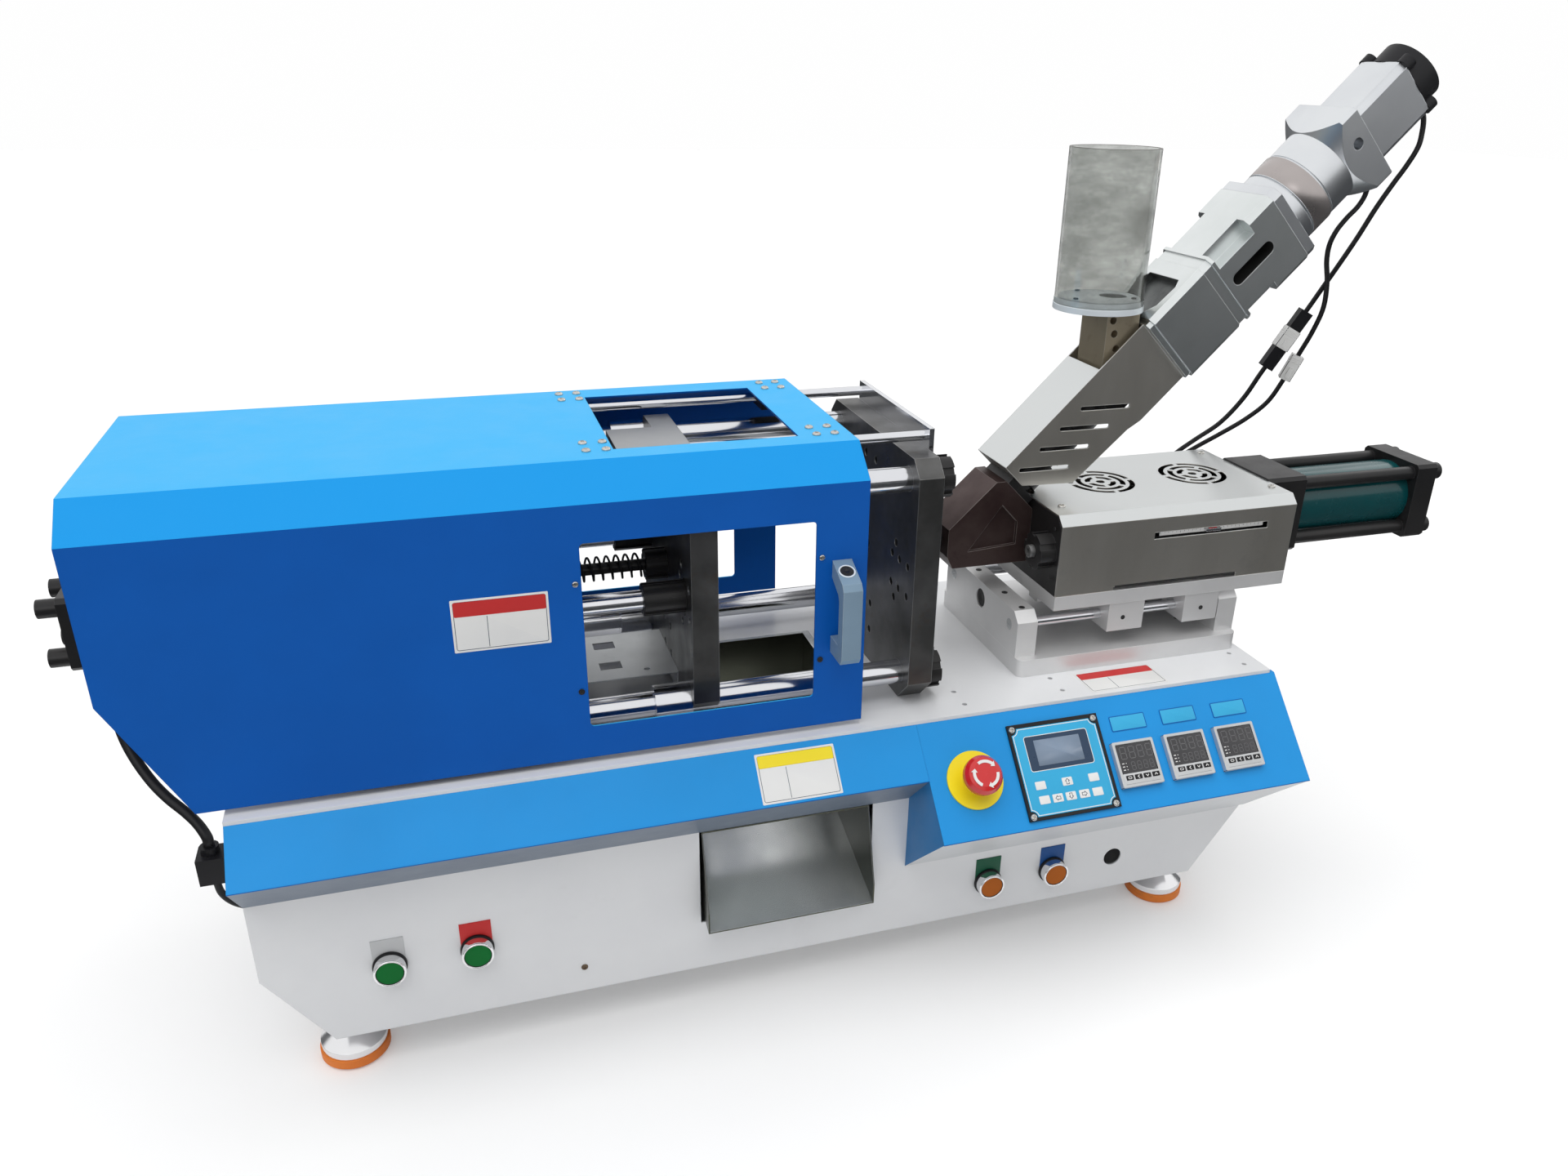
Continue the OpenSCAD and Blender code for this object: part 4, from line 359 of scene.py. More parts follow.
finishes = {
    "white_paint": {**paint, "colour": (0.79, 0.8, 0.815), "tone": (0.755, 0.765, 0.785), "rough": 0.34, "coat": 0.2,
        "stain": ((0.6, 0.6, 0.6), 0.18, 14, 0.62)},
    # the console's underside is its own pale grey, and faces that look left take a darker blue, painted shade; on the
    # blue strip the underside takes a dark slate, painted shade on its pale underside
    "azure_paint": {**azure, "under": (0.62, 0.64, 0.66), "shade": (0.008, 0.17, 0.44)},
    "nosePaint": {**azure, "under": (0.15, 0.19, 0.25)},
    # painted light: one blue paint, deep on upright faces, lighter on faces that look up and lightest on the top
    "blue_paint": {**paint, "colour": (0.001, 0.102, 0.46), "tone": (0.001, 0.095, 0.43), "facing": (0.012, 0.31, 0.76),
        "crown": (0.045, 0.44, 0.84), "rough": 0.42, "specular": 0.14},
    # painted highlight: the handle's edges take a pale blue
    "pale_handle_paint": {**paint, "colour": (0.2, 0.3, 0.4), "tone": (0.17, 0.26, 0.35), "rough": 0.36,
        "edge": (0.55, 0.62, 0.68)},
    "polished_aluminium": {"colour": (0.86, 0.86, 0.87), "tone": (0.8, 0.8, 0.815), "metallic": 1.0, "rough": 0.17,
        "roughSpread": 0.04, "soft": 0.0008},
    "orange_rubber": {"colour": (0.85, 0.24, 0.03), "tone": (0.75, 0.19, 0.025), "rough": 0.6, "relief": (0.0002, 400),
        "stain": ((0.25, 0.12, 0.06), 0.35), "soft": 0.0014},
    "galvanised_sheet": {"colour": (0.6, 0.62, 0.63), "tone": (0.52, 0.54, 0.55), "toneScale": 18, "metallic": 0.6,
        "rough": 0.4, "roughSpread": 0.03, "stain": ((0.36, 0.37, 0.37), 0.35), "relief": (0.00002, 300)},
    # painted shade: the chute's upright faces take a dark olive, where its inside lies in shade
    "chuteSheet": {"colour": (0.88, 0.9, 0.9), "tone": (0.7, 0.73, 0.73), "toneScale": 12, "metallic": 0.8,
        "cheeks": (0.075, 0.08, 0.06), "rough": 0.25, "roughSpread": 0.02, "relief": (0.00001, 60)},
    "grey_gear": {"colour": (0.3, 0.31, 0.33), "tone": (0.24, 0.25, 0.27), "rough": 0.5, "relief": (0.0001,)},
    "black_plastic": {"colour": (0.008, 0.008, 0.01), "tone": (0.012, 0.012, 0.014), "rough": 0.44, "specular": 0.3,
        "relief": (0.00006, 1400, 0.4)},
    "chrome_trim": {"colour": (0.84, 0.84, 0.85), "tone": (0.8, 0.8, 0.81), "metallic": 1.0, "rough": 0.09,
        "roughSpread": 0.03, "soft": 0.0005},
    "yellow_plastic": {**gloss, "colour": (0.9, 0.73, 0.015), "tone": (0.87, 0.69, 0.015), "rough": 0.38, "coat": 0.1},
    "green_plastic": {**cap, "colour": (0.002, 0.155, 0.028), "tone": (0.002, 0.135, 0.024)},
    "orange_plastic": {**cap, "colour": (0.46, 0.12, 0.012), "tone": (0.41, 0.105, 0.011)},
    "red_plastic": {**gloss, "colour": (0.6, 0.012, 0.014), "tone": (0.52, 0.01, 0.012)},
    "dark_platen_steel": platenSteel,
    # painted light: faces of the moving platen that look up take a much lighter grey
    "movingPlaten": {**platenSteel, "facing": (0.4, 0.41, 0.42)},
    "paleDisc": {"colour": (0.78, 0.84, 0.88), "tone": (0.72, 0.78, 0.82), "metallic": 0.2, "rough": 0.35},
    # painted shade for the dark look of the clear tube's cut top edge
    "tubeEdgeShade": {"colour": (0.05, 0.04, 0.032), "tone": (0.1, 0.085, 0.07), "toneScale": 60, "rough": 0.2},
    "chromed_bar": {"colour": (0.78, 0.79, 0.82), "tone": (0.74, 0.75, 0.78), "metallic": 1.0, "rough": 0.15,
        "roughSpread": 0.008, "glossScale": 8, "glossStretch": (4, 1, 1)},
    "black_oxide": {"colour": (0.016, 0.016, 0.017), "tone": (0.026, 0.025, 0.025), "metallic": 0.2, "rough": 0.36,
        "specular": 0.35, "roughSpread": 0.06, "edge": (0.1, 0.1, 0.105), "edgeWidth": 0.0005, "relief": (0.00004,)},
    "milled_aluminium": {**milled, "colour": (0.81, 0.84, 0.84), "tone": (0.71, 0.745, 0.74), "rough": 0.3,
        "edge": (0.93, 0.94, 0.95), "relief": (0.000006, 900, 0.3)},
    "rawAluminium": {**milled, "colour": (0.8, 0.8, 0.8), "tone": (0.72, 0.72, 0.725), "metallic": 0.55,
        "rough": 0.45, "roughSpread": 0.02, "edge": (0.93, 0.94, 0.95)},
    # painted shade for the housing's dished pocket
    "pocketShadeGrey": {"colour": (0.16, 0.17, 0.17), "tone": (0.07, 0.075, 0.075), "toneScale": 30, "metallic": 0.5,
        "rough": 0.35},
    "boltGrey": {"colour": (0.2, 0.2, 0.2), "tone": (0.14, 0.14, 0.14), "toneScale": 200, "metallic": 0.6,
        "rough": 0.42, "soft": 0.0004},
    "dullBronze": {"colour": (0.2, 0.15, 0.1), "tone": (0.14, 0.1, 0.07), "toneScale": 300, "metallic": 0.9,
        "rough": 0.35, "soft": 0.0003},
    "satin_aluminium": {**milled, "colour": (0.76, 0.78, 0.8), "tone": (0.68, 0.7, 0.73), "rough": 0.33,
        "relief": (0.000008, 1200, 0.3)},
    # painted reflection: faces of the cover that look up take a cooler, slightly darker grey than its sides
    "brushed_cover_steel": {"colour": (0.74, 0.71, 0.65), "tone": (0.66, 0.63, 0.57), "toneScale": 5,
        "toneStretch": (3, 1, 1), "facing": (0.68, 0.7, 0.7), "metallic": 0.92, "rough": 0.3, "roughSpread": 0.02,
        "glossScale": 7, "stain": ((0.42, 0.42, 0.4), 0.3, 16), "edge": (0.85, 0.86, 0.86), "soft": 0.0012,
        "relief": (0.000008, 300, 0.3, (1, 10, 10))},
    "heated_brown_steel": {"colour": (0.05, 0.028, 0.027), "tone": (0.085, 0.058, 0.054), "toneScale": 20,
        "metallic": 0.6, "rough": 0.4, "stain": ((0.045, 0.018, 0.024), 0.7), "edge": (0.4, 0.36, 0.34),
        "edgeWidth": 0.0012, "relief": (0.00004, 260)},
    "teal_tube": {"colour": (0.001, 0.06, 0.066), "tone": (0.001, 0.046, 0.052), "rough": 0.26, "specular": 0.35,
        "coat": 0.3, "relief": (0.00002, 80, 0.5, (1, 6, 6))},
    "tan_plate": {"colour": (0.42, 0.36, 0.26), "tone": (0.34, 0.29, 0.21), "metallic": 0.6, "rough": 0.42,
        "stain": ((0.16, 0.13, 0.09),), "edge": (0.7, 0.66, 0.58), "relief": (0.00005,)},
    "cable_jacket": {"colour": (0.01, 0.01, 0.011), "tone": (0.016, 0.016, 0.018), "rough": 0.42, "specular": 0.35,
        "relief": (0.00006,)},
    "panelFilm": {**printed, "colour": (0.045, 0.41, 0.7), "tone": (0.04, 0.385, 0.665), "rough": 0.32},
    "printWhite": {**printed, "colour": (0.8, 0.8, 0.79), "tone": (0.75, 0.75, 0.74)},
    "navyPrint": {**printed, "colour": (0.03, 0.055, 0.1), "tone": (0.026, 0.048, 0.09), "rough": 0.3},
    "liquidCrystal": {**gloss, "colour": (0.19, 0.26, 0.36), "tone": (0.17, 0.235, 0.33), "rough": 0.16, "coat": 0.8},
    "screwSteel": {"colour": (0.66, 0.65, 0.62), "tone": (0.55, 0.54, 0.51), "toneScale": 200, "metallic": 1.0,
        "rough": 0.27, "stain": ((0.3, 0.26, 0.2), 0.5, 300), "relief": (0.00002,), "soft": 0.0003},
    "silverPlastic": {**gloss, "colour": (0.58, 0.59, 0.6), "tone": (0.53, 0.54, 0.55), "metallic": 0.35, "rough": 0.36,
        "coat": 0.1, "soft": 0.0005},
    "darkGlass": {**gloss, "colour": (0.01, 0.01, 0.013), "tone": (0.014, 0.013, 0.017), "rough": 0.1, "coat": 0.7},
    "segmentGrey": {**printed, "colour": (0.13, 0.13, 0.135), "tone": (0.11, 0.11, 0.115)},
    "deepBlue": {**printed, "colour": (0.004, 0.12, 0.42), "tone": (0.004, 0.11, 0.39)},
    "plateRed": {**printed, "colour": (0.6, 0.03, 0.03), "tone": (0.55, 0.026, 0.026)},
    "plateSilver": {**printed, "colour": (0.58, 0.59, 0.6), "tone": (0.54, 0.55, 0.56)},
    "plateGreen": {**printed, "colour": (0.006, 0.1, 0.05), "tone": (0.005, 0.09, 0.045)},
    "plateBlue": {**printed, "colour": (0.01, 0.085, 0.3), "tone": (0.009, 0.075, 0.27)},
    # near black: painted shade inside holes, slots and notches
    "darkHole": {"colour": (0.01, 0.01, 0.01), "tone": (0.02, 0.02, 0.02), "rough": 0.6, "relief": (0.00002,)},
    "gearTint": {"colour": (0.46, 0.42, 0.41), "tone": (0.4, 0.365, 0.355), "metallic": 0.9, "rough": 0.3,
        "relief": (0.00003, 700), "soft": 0.0004}}


clearValues = {"colour": (0.72, 0.735, 0.715), "rough": 0.03, "bend": 1.42, "dust": (0.20, 0.20, 0.185),
               "film": (9, (1, 1, 2.2), 8, 0.75), "filmSpan": (0.38, 0.66, 0.03, 0.34),
               "specks": (55, (1, 1, 1.6), 5, 0.75), "speckSpan": (0.66, 0.74, 0.0, 0.45)}


def makeClear(v):
    # thin cast tube with dust and finger marks inside
    mat, tree, body = newMaterial("clear_plastic", {"Roughness": v["rough"], "IOR": v["bend"],
                                                    "Transmission Weight": 1.0, "Base Color": (*v["colour"], 1)})
    coords = addNode(tree, "ShaderNodeTexCoord").outputs["Object"]
    dust = addNode(tree, "ShaderNodeBsdfDiffuse", {"Color": (*v["dust"], 1)})
    film = ramp(tree, noise(tree, coords, *v["film"]), *v["filmSpan"])
    specks = ramp(tree, noise(tree, coords, *v["specks"]), *v["speckSpan"])
    mix = addNode(tree, "ShaderNodeMixShader", {0: maths(tree, "ADD", film, specks), 1: body.outputs[0],
                                                2: dust.outputs[0]})
    setSockets(tree, tree.nodes["Material Output"], {"Surface": mix.outputs[0]})
    return mat


materials = {name: makeFinish(name, values) for name, values in finishes.items()}
materials["clear_plastic"] = makeClear(clearValues)
nodeFinishes = {"moving_platen": "movingPlaten", "nose_strip": "nosePaint", "discharge_chute": "chuteSheet",
                "slide_base": "rawAluminium", "rail_end_blocks": "rawAluminium",
                "carriage_plate": "rawAluminium", "rail_bearings": "rawAluminium"}
for entry in frame["record"]["subparts"]:
    mesh = nodes[entry["node"]].data
    mesh.materials.clear()
    mesh.materials.append(materials[nodeFinishes.get(entry["node"], entry["material_slot"])])
for cordPiece in cords:
    cordPiece.data.materials.append(materials["cable_jacket"])
print("finishes made:", len(materials))


def stand(origin, normal, up):
    # millimetre space on a face: x runs along it, y towards up, z leaves it
    z = Vector(normal).normalized()
    x = Vector(up).cross(z).normalized()
    turn = Matrix((x, z.cross(x), z)).transposed().to_4x4()
    return Matrix.Translation(at(*origin)) @ turn @ Matrix.Scale(0.001, 4)


# the normal and the upward direction of a face that looks that way
front, back = ((0, -1, 0), (0, 0, 1)), ((0, 1, 0), (0, 0, 1))
left, right = ((-1, 0, 0), (0, 0, 1)), ((1, 0, 0), (0, 0, 1))
above = ((0, 0, 1), (0, 1, 0))


def shift(place, x=0.0, y=0.0, z=0.0, turn=0.0):
    return place @ Matrix.Translation((x, y, z)) @ Matrix.Rotation(radians(turn), 4, "Z")


slopeValues = {"front": -6.4, "top": 262, "run": 0.6932, "drop": 0.7207}
noseValues = {**slopeValues, "run": 0.7037, "drop": 0.7105}


def onSlope(x, s, lift=0.0, v=slopeValues):
    # s runs down the console's face, or down the blue strip's with noseValues, and lift leaves it
    origin = (x, v["front"] - s * v["run"] - lift * v["drop"], v["top"] - s * v["drop"] + lift * v["run"])
    return stand(origin, (0, -v["drop"], v["run"]), (0, v["run"], v["drop"]))


feedStart = Vector((760, 154, 400))


def onFeed(s, n, y, normal, up):
    # s runs up the inclined axis, n leaves it upwards, y runs to the back, all in millimetres
    def turned(s, n, y):
        return Vector((s - n, y / sqrt(0.5), s + n)) * sqrt(0.5)
    return stand(feedStart + turned(s, n, y), turned(*normal), turned(*up))


corners = ((1, 1), (-1, 1), (-1, -1), (1, -1))


def roundRect(wide, high, radius, cx=0.0, cy=0.0, steps=4):
    return [polar(radius, 90 * (quarter + i / steps), cx + sx * (wide / 2 - radius), cy + sy * (high / 2 - radius))
            for quarter, (sx, sy) in enumerate(corners) for i in range(steps + 1)]


def ringPoints(radius, count=40, cx=0.0):
    return [polar(radius, 360 * i / count, cx) for i in range(count)]


def inset(outline, amount):
    # every corner moves in along its bisector
    moved = []
    for i, corner in enumerate(outline):
        here, before, after = Vector(corner), Vector(outline[i - 1]), Vector(outline[(i + 1) % len(outline)])
        a, b = (here - before).normalized(), (after - here).normalized()
        sideA, sideB = Vector((-a.y, a.x)), Vector((-b.y, b.x))
        way = (sideA + sideB).normalized() if (sideA + sideB).length > 1e-6 else sideA
        moved.append(tuple(here + way * amount / max(0.35, way.dot(sideA))))
    return moved


def ring(bm, place, outline, z):
    return [bm.verts.new(place @ Vector((x, y, z))) for x, y in outline]


def bridge(bm, lower, upper):
    count = len(lower)
    for i in range(count):
        bm.faces.new((lower[i], lower[(i + 1) % count], upper[(i + 1) % count], upper[i]))


def loft(bm, rings):
    # walls from ring to ring, closed at both ends
    for lower, upper in zip(rings, rings[1:]):
        bridge(bm, lower, upper)
    bm.faces.new(rings[-1])
    bm.faces.new(list(reversed(rings[0])))


def slab(bm, place, outline, low, high, edge=0.0):
    # a plate on the face, its upper edge rounded by edge
    levels = [(0.0, low), (0.0, high)]
    if edge:
        levels = [(0.0, low)] + [(edge * (1 - cos(a)), high - edge * (1 - sin(a))) for a in (0.0, pi / 4, pi / 2)]
    loft(bm, [ring(bm, place, inset(outline, d) if d else outline, z) for d, z in levels])


def frameSlab(bm, place, outer, inner, low, high, edge=0.0):
    # a plate with a hole: outer and inner have as many corners
    loops = [(outer, low), (outer, high - edge), (inset(outer, edge) if edge else outer, high),
             (inset(inner, -edge) if edge else inner, high), (inner, high - edge), (inner, low)]
    if not edge:
        loops = [loops[0], loops[2], loops[3], loops[5]]
    rings = [ring(bm, place, outline, z) for outline, z in loops]
    for lower, upper in zip(rings, rings[1:] + rings[:1]):
        bridge(bm, lower, upper)


def turnedShape(bm, place, profile, count=40):
    # profile is (radius, height) from the axis out and back to it, or a closed loop clear of the axis
    rings = []
    for radius, z in profile:
        if radius < 1e-6:
            rings.append(bm.verts.new(place @ Vector((0, 0, z))))
        else:
            rings.append(ring(bm, place, ringPoints(radius, count), z))
    pairs = list(zip(rings, rings[1:]))
    if profile[0][0] > 1e-6:
        pairs.append((rings[-1], rings[0]))
    for lower, upper in pairs:
        if isinstance(lower, list) and isinstance(upper, list):
            bridge(bm, lower, upper)
        elif isinstance(lower, list) or isinstance(upper, list):
            tip, loop = (upper, lower) if isinstance(lower, list) else (lower, upper)
            for i in range(count):
                bm.faces.new((loop[i], loop[(i + 1) % count], tip))


def recessPoints(kind, size):
    # corners of a cross, hexagon or slot recess, in turning order
    if kind == "cross":
        w = 0.22
        quarter = [(1, -w), (1, 0), (1, w), (0.55, w), (0.35, w), (w, w), (w, 0.35), (w, 0.55)]
        return [(size * (x * c - y * s), size * (x * s + y * c))
                for c, s in ((1, 0), (0, 1), (-1, 0), (0, -1)) for x, y in quarter]
    points = []
    for i in range(36):
        a = radians(10 * i)
        if kind == "hex":
            reach = cos(pi / 6) / cos((a + pi / 6) % (pi / 3) - pi / 6)
        else:
            reach = 1 / max(abs(cos(a)), abs(sin(a)) / tan(radians(10)))
        points.append(polar(size * reach, 10 * i))
    return points


def screwHead(bm, place, radius, height, kind="cross"):
    # a screw head with a true recess: domed for a cross or slot, straight for a hexagon
    if kind == "hex":
        levels = [(1.0, 0.0), (1.0, 0.86), (0.97, 0.95), (0.90, 1.0)]
        recess, deep = recessPoints("hex", radius * 0.56), 0.55
    else:
        levels = [(1.0, 0.0), (1.0, 0.30), (0.97, 0.52), (0.88, 0.76), (0.74, 0.93), (0.66, 1.0)]
        recess, deep = recessPoints(kind, radius * (0.56 if kind == "cross" else 0.62)), 0.6
    angles = [degrees(atan2(y, x)) for x, y in recess]
    rings = [ring(bm, place, [polar(radius * r, a) for a in angles], height * z) for r, z in levels]
    rings.append(ring(bm, place, recess, height))
    rings.append(ring(bm, place, [(x * 0.8, y * 0.8) for x, y in recess], height * (1 - deep)))
    loft(bm, rings)


def arrowPoints(length, wide, head):
    # a block arrow along +Y about its middle
    half, shaft = length / 2, wide * 0.28
    return [(0, half), (-wide / 2, half - head), (-shaft, half - head), (-shaft, -half), (shaft, -half),
            (shaft, half - head), (wide / 2, half - head)]


def bentArrow(radius, wide, start, end, head):
    # an arc that ends in an arrow head, clockwise from start to end, in degrees
    steps = [start + (end - start) * i / 10 for i in range(11)]
    outer = [polar(radius + wide / 2, a) for a in steps]
    inner = [polar(radius - wide / 2, a) for a in reversed(steps)]
    point = [polar(radius + k * wide * 1.1, a) for k, a in ((1, end), (0, end - head), (-1, end))]
    return list(reversed(outer + point + inner))


def makePiece(name, bm, slotName, body, finishName=None, sharp=40):
    bmesh.ops.recalc_face_normals(bm, faces=bm.faces)
    mesh = bpy.data.meshes.new(name)
    bm.to_mesh(mesh)
    bm.free()
    mesh.shade_smooth()
    mesh.set_sharp_from_angle(angle=radians(sharp))
    mesh.materials.append(materials[finishName or slotName])
    piece = addObject(name, mesh)
    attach(piece, body)
    return piece


def makePlate(name, place, outline, levels, *look):
    # a piece that is one slab; look is its slot, its body and its finish
    plate = bmesh.new()
    slab(plate, place, outline, *levels)
    makePiece(name, plate, *look)


displayValues = {"place": (790, 66, 3), "panel": (97, 92), "centre": (-0.5, -0.5), "notch": 6.5,
                 "screen": (73, 37.4, 3.0), "glass": (52.4, 27, 0.6), "screenCentre": (-0.9, 17.4),
                 "key": (11.6, 8.4, 1.0), "arrow": (6.2, 6.0, 2.8), "screws": (47, 45.4, 0.6), "screwHead": (3.6, 2.2),
                 "upper": ((-31.4, -15.6, None), (-1.0, -15.7, 0), (29.4, -15.9, None)),
                 "lower": ((-30.9, -30.6, None), (-15.9, -30.8, 90), (-1.0, -30.9, 180), (14.4, -31.0, -90),
                           (29.7, -31.1, None))}


def notchedPanel(wide, high, notch, cx, cy):
    # a panel whose corners are bitten round by the screws
    return [polar(notch, 270 + 90 * quarter - 15 * i, cx + sx * wide / 2, cy + sy * high / 2)
            for quarter, (sx, sy) in enumerate(corners) for i in range(7)]


def makeDisplay(v):
    place = onSlope(*v["place"])
    outline = notchedPanel(*v["panel"], v["notch"], *v["centre"])
    makePlate("displayPanel", place, outline, (0.02, 0.35, 0.12), "azure_paint", "base", "panelFilm")
    lines, keys, marks, screws = (bmesh.new() for _ in range(4))
    frameSlab(lines, place, inset(outline, 0.9), inset(outline, 1.7), 0.3, 0.42)
    screen, glass = (roundRect(*v[key], *v["screenCentre"]) for key in ("screen", "glass"))
    frameSlab(lines, place, screen, inset(screen, 0.7), 0.3, 0.44)
    makePiece("displayLines", lines, "white_paint", "base", "printWhite")
    makePlate("displaySurround", place, inset(screen, 0.72), (0.3, 0.42), "black_plastic", "base", "navyPrint")
    makePlate("displayGlass", place, glass, (0.35, 0.5, 0.05), "grey_gear", "base", "liquidCrystal")
    for x, y, turn in v["upper"] + v["lower"]:
        slab(keys, place, roundRect(*v["key"], x, y), 0.3, 0.75, 0.25)
        if turn is not None:
            arrow = arrowPoints(*v["arrow"])
            frameSlab(marks, shift(place, x, y, 0, turn), arrow, inset(arrow, 0.55), 0.7, 0.82)
    makePiece("displayKeys", keys, "white_paint", "base", "printWhite")
    makePiece("displayArrows", marks, "black_plastic", "base", "navyPrint")
    reachX, reachY, off = v["screws"]
    for sx, sy in corners:
        screwHead(screws, shift(place, sx * reachX - off, sy * reachY - off, 0, 20 * sx + 11 * sy), *v["screwHead"])
    makePiece("displayScrews", screws, "polished_aluminium", "base", "screwSteel")


controllerValues = {"places": (872.5, 934.5, 996.5), "s": 75, "side": 48.6, "opening": 42, "strip": 11.2,
                    "levels": (5.0, 5.6, 6.15, 6.4), "bigDigit": (7.4, 13.4, 1.0), "bigStep": (10.2, 1.4, 6.2),
                    "smallDigit": (4.9, 8.8, 0.7), "smallStep": (7.2, 5.0, -8.2), "lamps": ((2.6, -17.2), (0.9, -13.6)),
                    "lampHigh": 0.9, "lampStep": (3.4, 4.6), "key": (8.4, 5.0, 0.7), "keyStep": (10.3, 1.2, 6.6),
                    "marks": (None, 90, 180, 0), "loop": (4.4, 2.6, 1.1), "loopHole": (3.2, 1.4, 0.5),
                    "chevron": [(0, 1.5), (-1.9, -0.6), (-1.3, -1.2), (0, 0.4), (1.3, -1.2), (1.9, -0.6)]}


def digit(bm, place, wide, high, bar):
    # seven unlit segments
    x, y, gap = wide / 2 - bar / 2, high / 2 - bar / 2, bar * 0.2
    ends = [((-x, y), (x, y)), ((-x, 0), (x, 0)), ((-x, -y), (x, -y)),
            ((-x, 0), (-x, y)), ((x, 0), (x, y)), ((-x, -y), (-x, 0)), ((x, -y), (x, 0))]
    for start, end in ends:
        a, b = Vector(start), Vector(end)
        way = (b - a).normalized()
        side = Vector((-way.y, way.x)) * bar / 2
        a, b = a + way * gap, b - way * gap
        slab(bm, place, [tuple(p) for p in (a, a + way * bar / 2 - side, b - way * bar / 2 - side, b,
                                            b - way * bar / 2 + side, a + way * bar / 2 + side)], 0.0, 0.06)


def makeControllers(v):
    bezels, glass, digits, lamps, keys, marks = (bmesh.new() for _ in range(6))
    opening, strip, bottom = v["opening"], v["strip"], -v["opening"] / 2
    back, glassTop, stripTop, bezelTop = v["levels"]
    middle = bottom + strip / 2 + opening / 2
    for x in v["places"]:
        place = onSlope(x, v["s"])
        frameSlab(bezels, place, roundRect(v["side"], v["side"], 1.6), roundRect(opening, opening, 1.0), 0.15,
                  bezelTop, 0.5)
        slab(bezels, place, roundRect(opening + 0.4, strip, 0.4, 0, bottom + strip / 2), back, stripTop, 0.15)
        slab(glass, place, roundRect(opening + 0.2, opening - strip, 0.4, 0, middle), back, glassTop, 0.1)
        face = shift(place, 0, 0, glassTop)
        for i in range(4):
            for size, (step, right, up) in ((v["bigDigit"], v["bigStep"]), (v["smallDigit"], v["smallStep"])):
                digit(digits, shift(face, (i - 1.5) * step + right, middle + up), *size)
        step, down = v["lampStep"]
        for i in range(3):
            for long, spot in v["lamps"]:
                slab(lamps, face, roundRect(long, v["lampHigh"], 0.3, spot, middle - down - step * i), 0, 0.08)
        step, right, up = v["keyStep"]
        for i, turn in enumerate(v["marks"]):
            spot = shift(place, (i - 1.5) * step + right, bottom + up, stripTop)
            slab(keys, spot, roundRect(*v["key"]), 0, 0.5, 0.2)
            if turn is None:
                frameSlab(marks, shift(spot, 0, 0, 0.5), roundRect(*v["loop"]), roundRect(*v["loopHole"]), 0, 0.06)
            else:
                slab(marks, shift(spot, 0, 0, 0.5, turn), v["chevron"], 0, 0.06)
    for name, mesh, slotName, finish in (("Bezels", bezels, "polished_aluminium", "silverPlastic"),
                                         ("Glass", glass, "black_plastic", "darkGlass"),
                                         ("Digits", digits, "grey_gear", "segmentGrey"),
                                         ("Lamps", lamps, "white_paint", "printWhite"),
                                         ("Keys", keys, "black_plastic", "black_plastic"),
                                         ("Marks", marks, "white_paint", "printWhite")):
        makePiece("controller" + name, mesh, slotName, "base", finish)


namePlateValues = {"places": ((877.4, 30.4), (938.2, 31.0), (1001.2, 32.2)), "size": (41.5, 16.0), "line": 0.6}


def makeNamePlates(v):
    plates, lines = bmesh.new(), bmesh.new()
    outline = roundRect(*v["size"], 1.2)
    for x, s in v["places"]:
        slab(plates, onSlope(x, s), outline, 0.02, 0.5, 0.15)
        frameSlab(lines, onSlope(x, s), inset(outline, -0.25), inset(outline, v["line"]), 0.02, 0.62)
    makePiece("namePlates", plates, "azure_paint", "base", "panelFilm")
    makePiece("namePlateLines", lines, "blue_paint", "base", "deepBlue")


stopValues = {"place": (691, 65), "top": 31.8, "radius": 12.4, "wide": 3.0, "starts": (118, -2, -122), "sweep": 72,
              "head": 17}


def makeStopArrows(v):
    arrows = bmesh.new()
    for start in v["starts"]:
        slab(arrows, onSlope(*v["place"]), bentArrow(v["radius"], v["wide"], start, start - v["sweep"], v["head"]),
             v["top"] - 0.6, v["top"] + 0.12)
    makePiece("stopArrows", arrows, "white_paint", "estop", "printWhite")


buttonValues = {"power": (114.5, 78, "plateSilver", "white_paint"), "heater": (195.5, 79.5, "plateRed", "red_plastic"),
                "start": (743.5, 43, "plateGreen", "green_plastic"), "inject": (823, 43, "plateBlue", "blue_paint")}
plateValues = {"wide": 29.8, "above": 30.4, "levels": (0.02, 1.0, 0.25)}
ringValues = {"buttonCollars": ("black_plastic", [(15.02, 1.0), (15.9, 1.0), (16.1, 1.3), (16.1, 3.6), (15.7, 4.2),
                                                  (15.02, 4.2)]),
              "buttonRims": ("chrome_trim", [(15.02, 11.2), (15.28, 11.4), (15.28, 12.8), (14.9, 13.8), (14.2, 14.28),
                                             (13.5, 14.1), (13.14, 13.5), (13.14, 12.9), (14.2, 12.9), (14.9, 11.9)]),
              "buttonGaps": ("black_plastic", [(12.42, 12.6), (12.42, 13.0), (13.12, 13.0), (13.12, 12.6)])}


def makeButtonTrim(values, plate, rings):
    half = plate["wide"] / 2
    outline = [polar(half, 180 + 10 * i) for i in range(19)] + [(half, plate["above"]), (-half, plate["above"])]
    places = {name: stand((x, 0, z), *front) for name, (x, z, _, _) in values.items()}
    for name, (_, _, finish, slotName) in values.items():
        makePlate(name + "Plate", places[name], outline, plate["levels"], slotName, "base", finish)
    for name, (slotName, profile) in rings.items():
        trim = bmesh.new()
        for place in places.values():
            turnedShape(trim, place, profile)
        makePiece(name, trim, slotName, "base")


